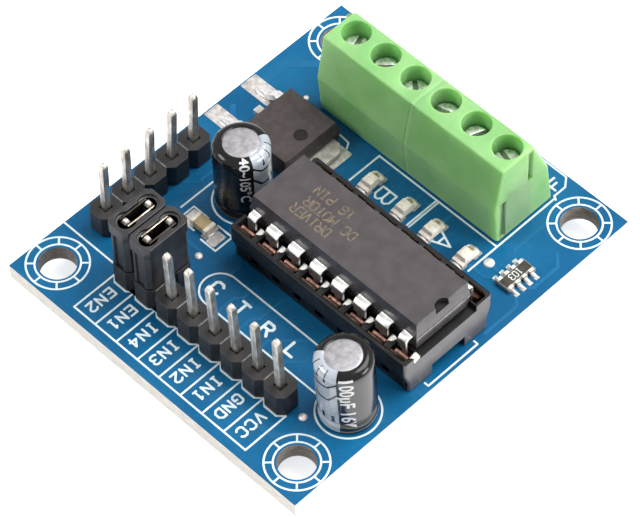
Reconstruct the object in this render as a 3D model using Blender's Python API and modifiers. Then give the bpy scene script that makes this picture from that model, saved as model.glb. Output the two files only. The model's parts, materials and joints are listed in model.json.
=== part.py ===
"""Small circuit module that drives two direct-current motors.

A blue circuit board carries a sixteen-lead driver chip in an open-frame socket, a row of
control pins, a row of power pins, two enable jumpers, a six-way screw terminal block,
a voltage regulator with its two capacitors, and a few small surface-mounted parts.

Metres, +Z up. The origin is the centre of the board's underside. +X runs along the row of
control pins, and +Y runs from the control pins towards the screw terminals.
"""

import math

import bmesh
import bpy
from mathutils import Matrix

# Clearances. The object is small, so its pieces keep a tenth of a millimetre, not three tenths.
SEAT_GAP = 0.0001
FIT_GAP = 0.0001
THREAD_GAP = 0.00006

# Circuit board. Its length and width are added up from what lies along them, further down.
BOARD_THICK = 0.0016
MOUNT_HOLE_D = 0.0033
MOUNT_INSET_X = 0.0028
MOUNT_INSET_Y = 0.0030
TAIL_LENGTH = 0.0015
HOLE_MARGIN = 0.00014

# Pin headers: square pins in a row of eight-sided mouldings
PIN_PITCH = 0.00254
PIN_SIDE = 0.00064
PIN_REACH = 0.0082
PIN_TAPER = 0.0004
PIN_TIP_SHARE = 0.5
HEADER_WIDTH = 0.00244
HEADER_HEIGHT = 0.0025
HEADER_CORNER = 0.00055
CONTROL_WAYS = 8
CONTROL_INSET = 0.00625
CONTROL_START = 0.00834
CONTROL_TO_SOCKET = 0.00735
JUMPER_COUNT = 2
POWER_WAYS = 5
POWER_INSET = 0.00285
POWER_START = 0.00245
POWER_TO_CAN = 0.00385
# How far each pin's tip has been pushed off the line of its hole, along X and along Y
CONTROL_LEANS = ((0.0, 0.0), (0.0, 0.0), (-0.00012, -0.00006), (-0.00028, 0.00008), (-0.00040, 0.00008),
                 (-0.00036, 0.00004), (-0.00032, 0.00010), (-0.00042, 0.00018))
POWER_LEANS = ((0.0, 0.00015), (0.00005, 0.00006), (0.00008, 0.00028), (0.0, 0.00040), (0.0, 0.00028))
NO_LEAN = (0.0, 0.0)

# Jumper caps, each over one control pin and the pin behind it
CAP_WIDTH = 0.00242
CAP_LENGTH = 0.00494
CAP_HEIGHT = 0.0055
CAP_WALL = 0.00042
CAP_CORNER = 0.0004
CAP_COLLAR = 0.0012
CAP_COLLAR_STEP = 0.0001
CAP_PLATE = 0.0005
CAP_SLOT_R = 0.00064
CAP_EYE_R = 0.0009
CAP_EYE_DEPTH = 0.0003
CAP_GROOVE_WIDTH = 0.0008
CAP_GROOVE_DEPTH = 0.00016
CLIP_LENGTH = 0.0030
CLIP_SHEET = 0.00015
CLIP_HEIGHT = 0.0042
CLIP_WEB = 0.0007
CLIP_WEB_HEIGHT = 0.0020
CLIP_DROP = 0.00015

# Socket of the driver chip
SOCKET_INSET = 0.00102
SOCKET_TO_TERMINAL = 0.0062
SOCKET_WIDTH = 0.0102
SOCKET_TAPER = 0.00045
SOCKET_HEIGHT = 0.0042
SOCKET_SHELF_HEIGHT = 0.0036
SOCKET_FLARE_LOW = 0.0012
SOCKET_FLARE_HIGH = 0.0026
SOCKET_GAP = 0.0050
SOCKET_END = 0.0012
SOCKET_NOTCH_WIDTH = 0.0038
SOCKET_NOTCH_HEIGHT = 0.0013
SOCKET_BRIDGE = 0.0016
SOCKET_BRIDGE_HEIGHT = 0.0022
POCKET_LENGTH = 0.00195
POCKET_FLOOR = 0.0009
POCKET_INNER = 0.00345
POCKET_WALL = 0.00036
CONTACT_WIDTH = 0.0017
CONTACT_SHEET = 0.00025
CONTACT_TOP = 0.00435
CONTACT_TAIL_WIDTH = 0.0005
CONTACT_TAIL_SHEET = 0.0003

# Driver chip: a sixteen-lead body with two rows 7.62 mm apart
CHIP_LEADS = 16
ROW_SPAN = 0.00762
CHIP_END_MARGIN = 0.00071
CHIP_WIDTH = 0.00635
CHIP_THICK = 0.0033
CHIP_DRAFT = 0.00022
CHIP_LIFT = 0.00385
CHIP_NOTCH_R = 0.00075
CHIP_NOTCH_DEPTH = 0.0006
LEAD_SHEET = 0.00025
LEAD_SHOULDER = 0.0014
LEAD_SHOULDER_DROP = 0.0013
LEAD_TIP_WIDTH = 0.0005
LEAD_TIP_HEIGHT = 0.0013
LEAD_BEND = 0.0003

# Screw terminals: two three-way housings keyed together
WAY_PITCH = 0.0035
WAYS_PER_HOUSING = 3
HOUSINGS = 2
TERMINAL_INSET = 0.0026
TERMINAL_START = 0.0068
TERMINAL_END_MARGIN = 0.0062
TERMINAL_DEPTH = 0.0068
TERMINAL_HEIGHT = 0.0092
TERMINAL_FRONT_STEP = 0.0045
TERMINAL_BELLY = 0.00035
TERMINAL_FRONT_LEAN = 0.00055
TERMINAL_TOP_DEPTH = 0.0038
TERMINAL_BACK_STEP = 0.0048
TERMINAL_BACK_LEAN = 0.0006
TERMINAL_EDGE = 0.00018
KEY_DEPTH = 0.00035
KEY_LOW_START = 0.00035
KEY_LOW_WIDTH = 0.0006
KEY_LOW_FOOT = 0.0004
KEY_LOW_TOP = 0.0050
KEY_HIGH_START = 0.0037
KEY_HIGH_WIDTH = 0.0004
KEY_HIGH_FOOT = 0.0053
SCREW_INSET = 0.0028
SCREW_WELL_D = 0.0026
SCREW_WELL_DEPTH = 0.0032
SCREW_NECK_D = 0.00225
CHAMBER_WIDTH = 0.0030
CHAMBER_TOP = 0.0055
ENTRY_WIDTH = 0.0024
ENTRY_SILL = 0.0008
ENTRY_HEIGHT = 0.0023

# Clamping screws and the cages that they lift
SCREW_HEAD_D = 0.0024
SCREW_HEAD_HEIGHT = 0.0010
SCREW_HEAD_DROP = 0.0022
SCREW_SHANK_D = 0.0020
SLOT_WIDTH = 0.0004
SLOT_DEPTH = 0.0005
CAGE_WIDTH = 0.0028
CAGE_DEPTH = 0.0022
CAGE_HEIGHT = 0.0036
CAGE_SHEET = 0.0003
CAGE_REST = 0.00035
STRIP_WIDTH = 0.0018
STRIP_TAIL_WIDTH = 0.0009
STRIP_SHEET = 0.0004
STRIP_HEIGHT = 0.0030

# Electrolytic capacitors
CAN_D = 0.0050
CAN_HEIGHT = 0.0079
CAN_LIP = 0.0007
CAN_TOP_DROP = 0.00018
CAN_ROUND = 0.00035
CAN_ROUND_CUT = 0.0001
CAN_WAIST_HEIGHT = 0.0013
CAN_WAIST_DEPTH = 0.00022
CAN_WELL_D = 0.0042
CAN_WELL_DEPTH = 0.0013
LEG_D = 0.0005
LEG_SPAN = 0.0020
CAN_TO_SOCKET = 0.00096
CAN_1_BELOW_SOCKET = 0.00015
CAN_2_AFTER_HEADER = 0.00073
CAN_2_BEYOND_CONTROL = 0.0032
CAN_2_LEAN = math.radians(2.0)

# Voltage regulator in a small power package
REG_BEFORE_SOCKET = 0.00516
REG_BEFORE_TERMINAL = 0.0012
REG_LENGTH = 0.0060
REG_WIDTH = 0.0066
REG_HEIGHT = 0.0023
REG_DRAFT = 0.00028
REG_PARTING = 0.0012
REG_DIMPLE_R = 0.0006
REG_DIMPLE_DEPTH = 0.00012
REG_DIMPLE_INSET = 0.00145
REG_TAB_WIDTH = 0.0052
REG_TAB_REACH = 0.0013
REG_TAB_INSIDE = 0.0040
REG_TAB_SHEET = 0.0005
REG_TAB_CORNER = 0.0007
REG_LEAD_PITCH = 0.00229
REG_LEAD_WIDTH = 0.00076
REG_LEAD_SHEET = 0.0005
REG_LEAD_EXIT = 0.00085
REG_LEAD_REACH = 0.0028
REG_LEAD_FOOT = 0.0014
REG_LEAD_INSIDE = 0.0006
REG_STUB_REACH = 0.0009

# Small surface-mounted parts
LED_LENGTH = 0.0021
LED_WIDTH = 0.00125
LED_BASE_HEIGHT = 0.00045
LED_HEIGHT = 0.00085
LED_LENS_LENGTH = 0.0013
LED_LENS_DRAFT = 0.00012
LED_BEFORE_TERMINAL = 0.0029
LED_STARTS = (0.00307, 0.00703, 0.01029, 0.01417)
CHIP_CAP_LENGTH = 0.0020
CHIP_CAP_WIDTH = 0.00122
CHIP_CAP_HEIGHT = 0.0009
CHIP_CAP_END = 0.0004
CHIP_CAP_SKIN = 0.00004
CHIP_CAP_BEFORE_SOCKET = 0.0038
CHIP_CAP_BELOW_CAN = 0.0045
ARRAY_LENGTH = 0.0032
ARRAY_WIDTH = 0.0016
ARRAY_HEIGHT = 0.0005
ARRAY_ELEMENTS = 4
ARRAY_PITCH = 0.0008
ARRAY_NOTCH_WIDTH = 0.00032
ARRAY_NOTCH_DEPTH = 0.00022
ARRAY_AFTER_TERMINAL = 0.0034
ARRAY_BEFORE_TERMINAL = 0.00143

# Facets of the round pieces, and the angles past which an edge is sharp
MOUNT_FACETS = 48
HOLE_FACETS = 12
CAN_FACETS = 32
SCREW_FACETS = 16
CUT_FACETS = 32
BEVEL_ANGLE = math.radians(40)
SHARP_ANGLE = math.radians(35)

# Sizes added up from the pieces that lie along them
BOARD_TOP = BOARD_THICK
SOCKET_LENGTH = PIN_PITCH * CHIP_LEADS / 2
CHIP_LENGTH = SOCKET_LENGTH - PIN_PITCH + CHIP_END_MARGIN * 2
WAYS = WAYS_PER_HOUSING * HOUSINGS
HOUSING_LENGTH = WAY_PITCH * WAYS_PER_HOUSING
LENGTH_BY_SOCKET = POWER_INSET + POWER_TO_CAN + CAN_D + CAN_TO_SOCKET + SOCKET_LENGTH + SOCKET_INSET
LENGTH_BY_TERMINAL = TERMINAL_START + HOUSING_LENGTH * HOUSINGS + TERMINAL_END_MARGIN
BOARD_LENGTH = max(LENGTH_BY_SOCKET, LENGTH_BY_TERMINAL)
WIDTH_BEFORE_TERMINAL = CONTROL_INSET + CONTROL_TO_SOCKET + SOCKET_WIDTH + SOCKET_TO_TERMINAL
BOARD_WIDTH = WIDTH_BEFORE_TERMINAL + TERMINAL_DEPTH + TERMINAL_INSET

# Places worked out from the sizes
LEFT_EDGE = -BOARD_LENGTH / 2
RIGHT_EDGE = BOARD_LENGTH / 2
FRONT_EDGE = -BOARD_WIDTH / 2
BACK_EDGE = BOARD_WIDTH / 2
CONTROL_Y = FRONT_EDGE + CONTROL_INSET
JUMPER_Y = CONTROL_Y + PIN_PITCH
POWER_X = LEFT_EDGE + POWER_INSET
SOCKET_LEFT = POWER_X + POWER_TO_CAN + CAN_D + CAN_TO_SOCKET
SOCKET_X = SOCKET_LEFT + SOCKET_LENGTH / 2
SOCKET_Y = CONTROL_Y + CONTROL_TO_SOCKET + SOCKET_WIDTH / 2
TERMINAL_FRONT = FRONT_EDGE + WIDTH_BEFORE_TERMINAL
TERMINAL_X = LEFT_EDGE + TERMINAL_START + HOUSING_LENGTH * HOUSINGS / 2
SCREW_Y = TERMINAL_FRONT + SCREW_INSET
CAN_1_X = SOCKET_LEFT - CAN_TO_SOCKET - CAN_D / 2
CAN_1_Y = SOCKET_Y - CAN_1_BELOW_SOCKET
HEADER_END = LEFT_EDGE + CONTROL_START + PIN_PITCH * CONTROL_WAYS - PIN_PITCH / 2
CAN_2_X = HEADER_END + CAN_2_AFTER_HEADER + CAN_D / 2
CAN_2_Y = CONTROL_Y + CAN_2_BEYOND_CONTROL
REG_X = SOCKET_LEFT - REG_BEFORE_SOCKET
REG_Y = TERMINAL_FRONT - REG_BEFORE_TERMINAL - REG_WIDTH / 2
CHIP_CAP_X = SOCKET_LEFT - CHIP_CAP_BEFORE_SOCKET
CHIP_CAP_Y = CAN_1_Y - CHIP_CAP_BELOW_CAN
ARRAY_X = TERMINAL_X + HOUSING_LENGTH * HOUSINGS / 2 + ARRAY_AFTER_TERMINAL
ARRAY_Y = TERMINAL_FRONT - ARRAY_BEFORE_TERMINAL
LED_Y = TERMINAL_FRONT - LED_BEFORE_TERMINAL
LED_XS = [SOCKET_LEFT + start for start in LED_STARTS]
POCKET_OUTER = SOCKET_WIDTH / 2 - POCKET_WALL
CAGE_FRONT_Y = SCREW_Y - CAGE_DEPTH / 2
STRIP_LEG_Y = CAGE_FRONT_Y - FIT_GAP - STRIP_SHEET / 2


def steps_from(first, count, pitch):
    """Places of a row of equal steps from its first one."""
    return [first + pitch * step for step in range(count)]


def row(count, pitch, middle):
    """Places of a row of equal steps about its middle."""
    return steps_from(middle - pitch * (count - 1) / 2, count, pitch)


CONTROL_XS = steps_from(LEFT_EDGE + CONTROL_START, CONTROL_WAYS, PIN_PITCH)
JUMPER_XS = CONTROL_XS[:JUMPER_COUNT]
POWER_YS = steps_from(CONTROL_Y + POWER_START, POWER_WAYS, PIN_PITCH)
LEAD_STEPS = row(CHIP_LEADS // 2, PIN_PITCH, 0.0)
WAY_XS = row(WAYS, WAY_PITCH, TERMINAL_X)
HOUSING_XS = row(HOUSINGS, HOUSING_LENGTH, TERMINAL_X)

# Scene and collections
for old_object in list(bpy.data.objects):
    bpy.data.objects.remove(old_object, do_unlink=True)

parts = bpy.data.collections.new("dc_motor_driver_module")
cutters = bpy.data.collections.new("cutters")
bpy.context.scene.collection.children.link(parts)
bpy.context.scene.collection.children.link(cutters)


def finish(name, colour, roughness, metallic=0.0):
    """A plain material in the part's colour."""
    material = bpy.data.materials.new(name)
    material.use_nodes = True
    shader = material.node_tree.nodes["Principled BSDF"]
    shader.inputs["Base Color"].default_value = (*colour, 1.0)
    shader.inputs["Roughness"].default_value = roughness
    shader.inputs["Metallic"].default_value = metallic
    return material


BLUE_MASK = finish("blue_solder_mask", (0.02, 0.16, 0.35), 0.4)
BLACK_NYLON = finish("black_nylon", (0.03, 0.03, 0.032), 0.5)
BLACK_EPOXY = finish("black_epoxy", (0.06, 0.055, 0.06), 0.6)
GREEN_NYLON = finish("green_nylon", (0.22, 0.55, 0.17), 0.4)
TINNED = finish("tinned_metal", (0.75, 0.74, 0.72), 0.3, 1.0)
PLATED_STEEL = finish("plated_steel", (0.6, 0.6, 0.58), 0.35, 1.0)
SPRING_BRONZE = finish("spring_bronze", (0.7, 0.5, 0.3), 0.35, 1.0)
BLACK_SLEEVE = finish("black_sleeve", (0.02, 0.02, 0.025), 0.3)
BLACK_RUBBER = finish("black_rubber", (0.03, 0.03, 0.03), 0.8)
LED_RESIN = finish("led_resin", (0.8, 0.76, 0.66), 0.4)
TAN_CERAMIC = finish("tan_ceramic", (0.45, 0.36, 0.22), 0.5)
DARK_GLAZE = finish("dark_glaze", (0.05, 0.05, 0.05), 0.4)


def link_piece(name, mesh, material, place=(0.0, 0.0, 0.0), turn=0.0):
    """Make the mesh a named piece of the module at its place."""
    piece = bpy.data.objects.new(name, mesh)
    if material is not None and not mesh.materials:
        mesh.materials.append(material)
    piece.location = place
    piece.rotation_euler = (0.0, 0.0, turn)
    parts.objects.link(piece)
    return piece


def baked(piece):
    """Give a piece the mesh that its modifiers make, and drop the modifiers and their cutters."""
    bpy.context.view_layer.update()
    graph = bpy.context.evaluated_depsgraph_get()
    mesh = bpy.data.meshes.new_from_object(piece.evaluated_get(graph))
    helpers = [step.object for step in piece.modifiers if step.type == "BOOLEAN"]
    piece.modifiers.clear()
    piece.data = mesh
    for helper in helpers:
        bpy.data.objects.remove(helper, do_unlink=True)
    return piece


def box_mesh(name, low, high):
    """A block between two corners."""
    size = [high[axis] - low[axis] for axis in range(3)]
    centre = [(high[axis] + low[axis]) / 2 for axis in range(3)]
    shape = bmesh.new()
    bmesh.ops.create_cube(shape, size=1.0, matrix=Matrix.Translation(centre) @ Matrix.Diagonal((*size, 1.0)))
    mesh = bpy.data.meshes.new(name)
    shape.to_mesh(mesh)
    shape.free()
    return mesh


def rod_mesh(name, radius, low, high, facets, centre=(0.0, 0.0)):
    """An upright round bar."""
    place = Matrix.Translation((centre[0], centre[1], (low + high) / 2))
    shape = bmesh.new()
    bmesh.ops.create_cone(shape, cap_ends=True, segments=facets, radius1=radius, radius2=radius,
                          depth=high - low, matrix=place)
    mesh = bpy.data.meshes.new(name)
    shape.to_mesh(mesh)
    shape.free()
    return mesh


def joined_mesh(name, meshes):
    """Several separate bodies in one mesh, for a cutter or for a fusing step."""
    shape = bmesh.new()
    for mesh in meshes:
        shape.from_mesh(mesh)
    result = bpy.data.meshes.new(name)
    shape.to_mesh(result)
    shape.free()
    return result


def ring(radius, facets, centre=(0.0, 0.0)):
    """Points round a circle."""
    steps = [2 * math.pi * step / facets for step in range(facets)]
    return [(centre[0] + radius * math.cos(angle), centre[1] + radius * math.sin(angle)) for angle in steps]


def rectangle(low, high):
    """Corner points of a flat rectangle."""
    return [(low[0], low[1]), (high[0], low[1]), (high[0], high[1]), (low[0], high[1])]


def cut_corners(low, high, corner):
    """A rectangle whose corners are cut off at forty-five degrees."""
    return [(low[0] + corner, low[1]), (high[0] - corner, low[1]), (high[0], low[1] + corner),
            (high[0], high[1] - corner), (high[0] - corner, high[1]), (low[0] + corner, high[1]),
            (low[0], high[1] - corner), (low[0], low[1] + corner)]


# How an outline's own three directions lie: across it, up it, and along its thickness
ALONG = {
    "X": Matrix(((0, 0, 1, 0), (1, 0, 0, 0), (0, 1, 0, 0), (0, 0, 0, 1))),
    "Y": Matrix(((0, 1, 0, 0), (0, 0, 1, 0), (1, 0, 0, 0), (0, 0, 0, 1))),
    "Z": Matrix.Identity(4),
}


def outline_mesh(name, loops, low, high, axis="Z"):
    """A flat outline, with holes where more loops are given, made thick along an axis.

    Along Z the points are (x, y), along X they are (y, z), and along Y they are (z, x).
    """
    curve = bpy.data.curves.new(name, "CURVE")
    curve.dimensions = "2D"
    curve.fill_mode = "BOTH"
    curve.extrude = (high - low) / 2
    for loop in loops:
        spline = curve.splines.new("POLY")
        spline.points.add(len(loop) - 1)
        for point, place in zip(spline.points, loop):
            point.co = (place[0], place[1], 0.0, 1.0)
        spline.use_cyclic_u = True
    guide = bpy.data.objects.new(name, curve)
    cutters.objects.link(guide)
    bpy.context.view_layer.update()
    graph = bpy.context.evaluated_depsgraph_get()
    mesh = bpy.data.meshes.new_from_object(guide.evaluated_get(graph))
    bpy.data.objects.remove(guide, do_unlink=True)
    shape = bmesh.new()
    shape.from_mesh(mesh)
    bmesh.ops.translate(shape, vec=(0.0, 0.0, (high + low) / 2), verts=shape.verts)
    bmesh.ops.transform(shape, matrix=ALONG[axis], verts=shape.verts)
    bmesh.ops.remove_doubles(shape, verts=shape.verts, dist=1e-6)
    bmesh.ops.recalc_face_normals(shape, faces=shape.faces)
    shape.to_mesh(mesh)
    shape.free()
    return mesh


def drafted_mesh(name, low, high, parting, draft_low, draft_high):
    """A moulded block whose sides lean in, above and below its parting line."""
    shape = bmesh.new()
    shape.from_mesh(box_mesh(name, low, high))
    everything = shape.verts[:] + shape.edges[:] + shape.faces[:]
    bmesh.ops.bisect_plane(shape, geom=everything, plane_co=(0.0, 0.0, parting), plane_no=(0.0, 0.0, 1.0))
    middle = ((low[0] + high[0]) / 2, (low[1] + high[1]) / 2)
    for height, draft in ((low[2], draft_low), (high[2], draft_high)):
        rim = [vert for vert in shape.verts if abs(vert.co.z - height) < 1e-7]
        factors = (1 - 2 * draft / (high[0] - low[0]), 1 - 2 * draft / (high[1] - low[1]), 1.0)
        about = Matrix.Translation((-middle[0], -middle[1], 0.0))
        bmesh.ops.scale(shape, vec=factors, space=about, verts=rim)
    mesh = bpy.data.meshes.new(name)
    shape.to_mesh(mesh)
    shape.free()
    return mesh


def combine(piece, mesh, operation):
    """Cut a mesh from a piece, or fuse it on, with a Boolean that stays live."""
    helper = bpy.data.objects.new(f"{piece.name}_{operation.lower()}", mesh)
    helper.location = piece.location
    helper.hide_render = True
    helper.display_type = "WIRE"
    cutters.objects.link(helper)
    step = piece.modifiers.new(operation.title(), "BOOLEAN")
    step.operation = operation
    step.solver = "EXACT"
    step.object = helper
    return helper


def soften(piece, width, segments=1):
    """Round the sharp edges a little."""
    step = piece.modifiers.new("Bevel", "BEVEL")
    step.width = width
    step.segments = segments
    step.limit_method = "ANGLE"
    step.angle_limit = BEVEL_ANGLE
    step.use_clamp_overlap = True


def turned(name, profile, facets, material, place):
    """A turned piece: a half profile, top to bottom, swept about the upright axis."""
    mesh = bpy.data.meshes.new(name)
    points = [(radius, 0.0, height) for radius, height in profile]
    edges = [(step, step + 1) for step in range(len(points) - 1)]
    mesh.from_pydata(points, edges, [])
    piece = link_piece(name, mesh, material, place)
    sweep = piece.modifiers.new("Screw", "SCREW")
    sweep.steps = facets
    sweep.render_steps = facets
    sweep.use_merge_vertices = True
    sweep.merge_threshold = 0.00001
    sweep.use_smooth_shade = True
    return piece


# Circuit board, with its mounting holes and a hole for every lead that passes through
def lead_holes():
    """Centre and radius of each small hole."""
    pin_hole = math.hypot(PIN_SIDE, PIN_SIDE) / 2 + HOLE_MARGIN
    contact_hole = math.hypot(CONTACT_TAIL_WIDTH, CONTACT_TAIL_SHEET) / 2 + HOLE_MARGIN
    strip_hole = math.hypot(STRIP_TAIL_WIDTH, STRIP_SHEET) / 2 + HOLE_MARGIN
    leg_hole = LEG_D / 2 + HOLE_MARGIN
    holes = [((x, CONTROL_Y), pin_hole) for x in CONTROL_XS]
    holes += [((x, JUMPER_Y), pin_hole) for x in JUMPER_XS]
    holes += [((POWER_X, y), pin_hole) for y in POWER_YS]
    for side in (-1, 1):
        row_y = SOCKET_Y + side * ROW_SPAN / 2
        holes += [((SOCKET_X + step, row_y), contact_hole) for step in LEAD_STEPS]
    holes += [((x, STRIP_LEG_Y), strip_hole) for x in WAY_XS]
    for side in (-1, 1):
        holes.append(((CAN_1_X + side * LEG_SPAN / 2, CAN_1_Y), leg_hole))
        holes.append(((CAN_2_X + side * LEG_SPAN / 2, CAN_2_Y), leg_hole))
    return holes


board_loops = [rectangle((LEFT_EDGE, FRONT_EDGE), (RIGHT_EDGE, BACK_EDGE))]
for side_x in (-1, 1):
    for side_y in (-1, 1):
        mount_place = (side_x * (RIGHT_EDGE - MOUNT_INSET_X), side_y * (BACK_EDGE - MOUNT_INSET_Y))
        board_loops.append(ring(MOUNT_HOLE_D / 2, MOUNT_FACETS, mount_place))
for hole_place, hole_radius in lead_holes():
    board_loops.append(ring(hole_radius, HOLE_FACETS, hole_place))
link_piece("circuit_board", outline_mesh("circuit_board", board_loops, 0.0, BOARD_THICK), BLUE_MASK)


# Pin headers
def pin_mesh(lean):
    """A square pin with tapered ends, its origin on the board's top face, that leans above the moulding."""
    half = PIN_SIDE / 2
    foot = -BOARD_THICK - TAIL_LENGTH
    shape = bmesh.new()
    shape.from_mesh(box_mesh("pin", (-half, -half, foot + PIN_TAPER), (half, half, PIN_REACH - PIN_TAPER)))
    for level, step in ((PIN_REACH - PIN_TAPER, PIN_TAPER), (foot + PIN_TAPER, -PIN_TAPER)):
        end = [face for face in shape.faces if all(abs(vert.co.z - level) < 1e-7 for vert in face.verts)]
        point = bmesh.ops.extrude_face_region(shape, geom=end)["geom"]
        tip = [item for item in point if isinstance(item, bmesh.types.BMVert)]
        bmesh.ops.delete(shape, geom=end, context="FACES_ONLY")
        bmesh.ops.translate(shape, vec=(0.0, 0.0, step), verts=tip)
        bmesh.ops.scale(shape, vec=(PIN_TIP_SHARE, PIN_TIP_SHARE, 1.0), verts=tip)
    everything = shape.verts[:] + shape.edges[:] + shape.faces[:]
    level = (0.0, 0.0, HEADER_HEIGHT)
    bmesh.ops.bisect_plane(shape, geom=everything, plane_co=level, plane_no=(0.0, 0.0, 1.0))
    for vert in shape.verts:
        share = max(0.0, (vert.co.z - HEADER_HEIGHT) / (PIN_REACH - HEADER_HEIGHT))
        vert.co.x += share * lean[0]
        vert.co.y += share * lean[1]
    mesh = bpy.data.meshes.new("header_pin")
    shape.to_mesh(mesh)
    shape.free()
    mesh.materials.append(TINNED)
    return mesh


def header_mesh(name, ways):
    """A moulding of eight-sided segments along X, with a square hole for each pin."""
    half_width = HEADER_WIDTH / 2
    half_pitch = PIN_PITCH / 2
    centres = row(ways, PIN_PITCH, 0.0)
    outline = []
    for centre in centres:
        outline.append((centre - half_pitch, -half_width + HEADER_CORNER))
        outline.append((centre - half_pitch + HEADER_CORNER, -half_width))
        outline.append((centre + half_pitch - HEADER_CORNER, -half_width))
    outline.append((centres[-1] + half_pitch, -half_width + HEADER_CORNER))
    outline += [(-x, -y) for x, y in outline]
    hole = PIN_SIDE / 2 + FIT_GAP
    loops = [outline]
    for centre in centres:
        loops.append(rectangle((centre - hole, -hole), (centre + hole, hole)))
    return outline_mesh(name, loops, SEAT_GAP, HEADER_HEIGHT)


def header_base(name, ways, place, turn=0.0):
    """The moulding as a piece at its place."""
    link_piece(name, header_mesh(name, ways), BLACK_NYLON, place, turn)


control_middle = (CONTROL_XS[0] + CONTROL_XS[-1]) / 2
header_base("control_header_base", CONTROL_WAYS, (control_middle, CONTROL_Y, BOARD_TOP))
for number, x in enumerate(CONTROL_XS, 1):
    lean = CONTROL_LEANS[(number - 1) % len(CONTROL_LEANS)]
    link_piece(f"control_pin_{number}", pin_mesh(lean), None, (x, CONTROL_Y, BOARD_TOP))
jumper_middle = (JUMPER_XS[0] + JUMPER_XS[-1]) / 2
header_base("jumper_header_base", JUMPER_COUNT, (jumper_middle, JUMPER_Y, BOARD_TOP))
for number, x in enumerate(JUMPER_XS, 1):
    link_piece(f"jumper_pin_{number}", pin_mesh(NO_LEAN), None, (x, JUMPER_Y, BOARD_TOP))
power_middle = (POWER_YS[0] + POWER_YS[-1]) / 2
header_base("power_header_base", POWER_WAYS, (POWER_X, power_middle, BOARD_TOP), math.pi / 2)
for number, y in enumerate(POWER_YS, 1):
    lean = POWER_LEANS[(number - 1) % len(POWER_LEANS)]
    link_piece(f"power_pin_{number}", pin_mesh(lean), None, (POWER_X, y, BOARD_TOP))


# Jumper caps: a nylon shell, slotted at its top, round a folded contact that bridges two pins
def cap_outline(grooved):
    """The shell's outline: the collar's, or the lower part's with a finger groove in each end face."""
    step = CAP_COLLAR_STEP if grooved else 0.0
    half_x = CAP_WIDTH / 2 - step
    half_y = CAP_LENGTH / 2 - step
    if not grooved:
        return cut_corners((-half_x, -half_y), (half_x, half_y), CAP_CORNER)
    near = CAP_GROOVE_WIDTH / 2
    floor = half_y - CAP_GROOVE_DEPTH
    corner_x = half_x - CAP_CORNER
    corner_y = half_y - CAP_CORNER
    end = [(-half_x, -corner_y), (-corner_x, -half_y), (-near, -half_y), (-near, -floor),
           (near, -floor), (near, -half_y), (corner_x, -half_y), (half_x, -corner_y)]
    return end + [(-x, -y) for x, y in end]


def slot_outline(radius, reach):
    """A slot with round ends, long along Y."""
    facets = CUT_FACETS // 2
    turns = [math.pi * step / facets for step in range(facets + 1)]
    far = [(radius * math.cos(turn), reach + radius * math.sin(turn)) for turn in turns]
    return far + [(-x, -y) for x, y in far]


def cap_mesh():
    """The shell: a grooved lower part, a plain collar, and a top plate with a slot and two shallow eyes."""
    bore = rectangle((-CAP_WIDTH / 2 + CAP_WALL, -CAP_LENGTH / 2 + CAP_WALL),
                     (CAP_WIDTH / 2 - CAP_WALL, CAP_LENGTH / 2 - CAP_WALL))
    reach = PIN_PITCH / 2
    collar_foot = CAP_HEIGHT - CAP_COLLAR
    plate_foot = CAP_HEIGHT - CAP_PLATE
    lower = outline_mesh("cap_lower", [cap_outline(True), bore], 0.0, collar_foot)
    collar = outline_mesh("cap_collar", [cap_outline(False), bore], collar_foot, plate_foot)
    plate_loops = [cap_outline(False), slot_outline(CAP_SLOT_R, reach)]
    plate = outline_mesh("cap_plate", plate_loops, plate_foot, CAP_HEIGHT)
    eye_floor = CAP_HEIGHT - CAP_EYE_DEPTH
    eyes = [rod_mesh("eye", CAP_EYE_R, eye_floor, CAP_HEIGHT + CAP_EYE_DEPTH, CUT_FACETS, (0.0, side * reach))
            for side in (-1, 1)]
    shell = link_piece("cap", lower, BLACK_NYLON)
    combine(shell, collar, "UNION")
    combine(shell, plate, "UNION")
    combine(shell, joined_mesh("eyes", eyes), "DIFFERENCE")
    mesh = baked(shell).data
    bpy.data.objects.remove(shell, do_unlink=True)
    return mesh


def clip_mesh():
    """Two spring leaves either side of the pins, joined low down by a web between the pins."""
    inner = PIN_SIDE / 2 + FIT_GAP
    outer = inner + CLIP_SHEET
    half = CLIP_LENGTH / 2
    high = CAP_HEIGHT - CLIP_DROP
    low = high - CLIP_HEIGHT
    leaves = [box_mesh("leaf", (-outer, -half, low), (-inner, half, high)),
              box_mesh("leaf", (inner, -half, low), (outer, half, high))]
    middle = (inner + outer) / 2
    web_low = (-middle, -CLIP_WEB / 2, low + CLIP_SHEET)
    web_high = (middle, CLIP_WEB / 2, low + CLIP_SHEET + CLIP_WEB_HEIGHT)
    folded = link_piece("clip", joined_mesh("leaves", leaves), SPRING_BRONZE)
    combine(folded, box_mesh("web", web_low, web_high), "UNION")
    mesh = baked(folded).data
    bpy.data.objects.remove(folded, do_unlink=True)
    return mesh


cap = cap_mesh()
clip = clip_mesh()
for number, x in enumerate(JUMPER_XS, 1):
    cap_place = (x, (CONTROL_Y + JUMPER_Y) / 2, BOARD_TOP + HEADER_HEIGHT + SEAT_GAP)
    link_piece(f"jumper_cap_{number}", cap, None, cap_place)
    link_piece(f"jumper_clip_{number}", clip, None, cap_place)


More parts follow.
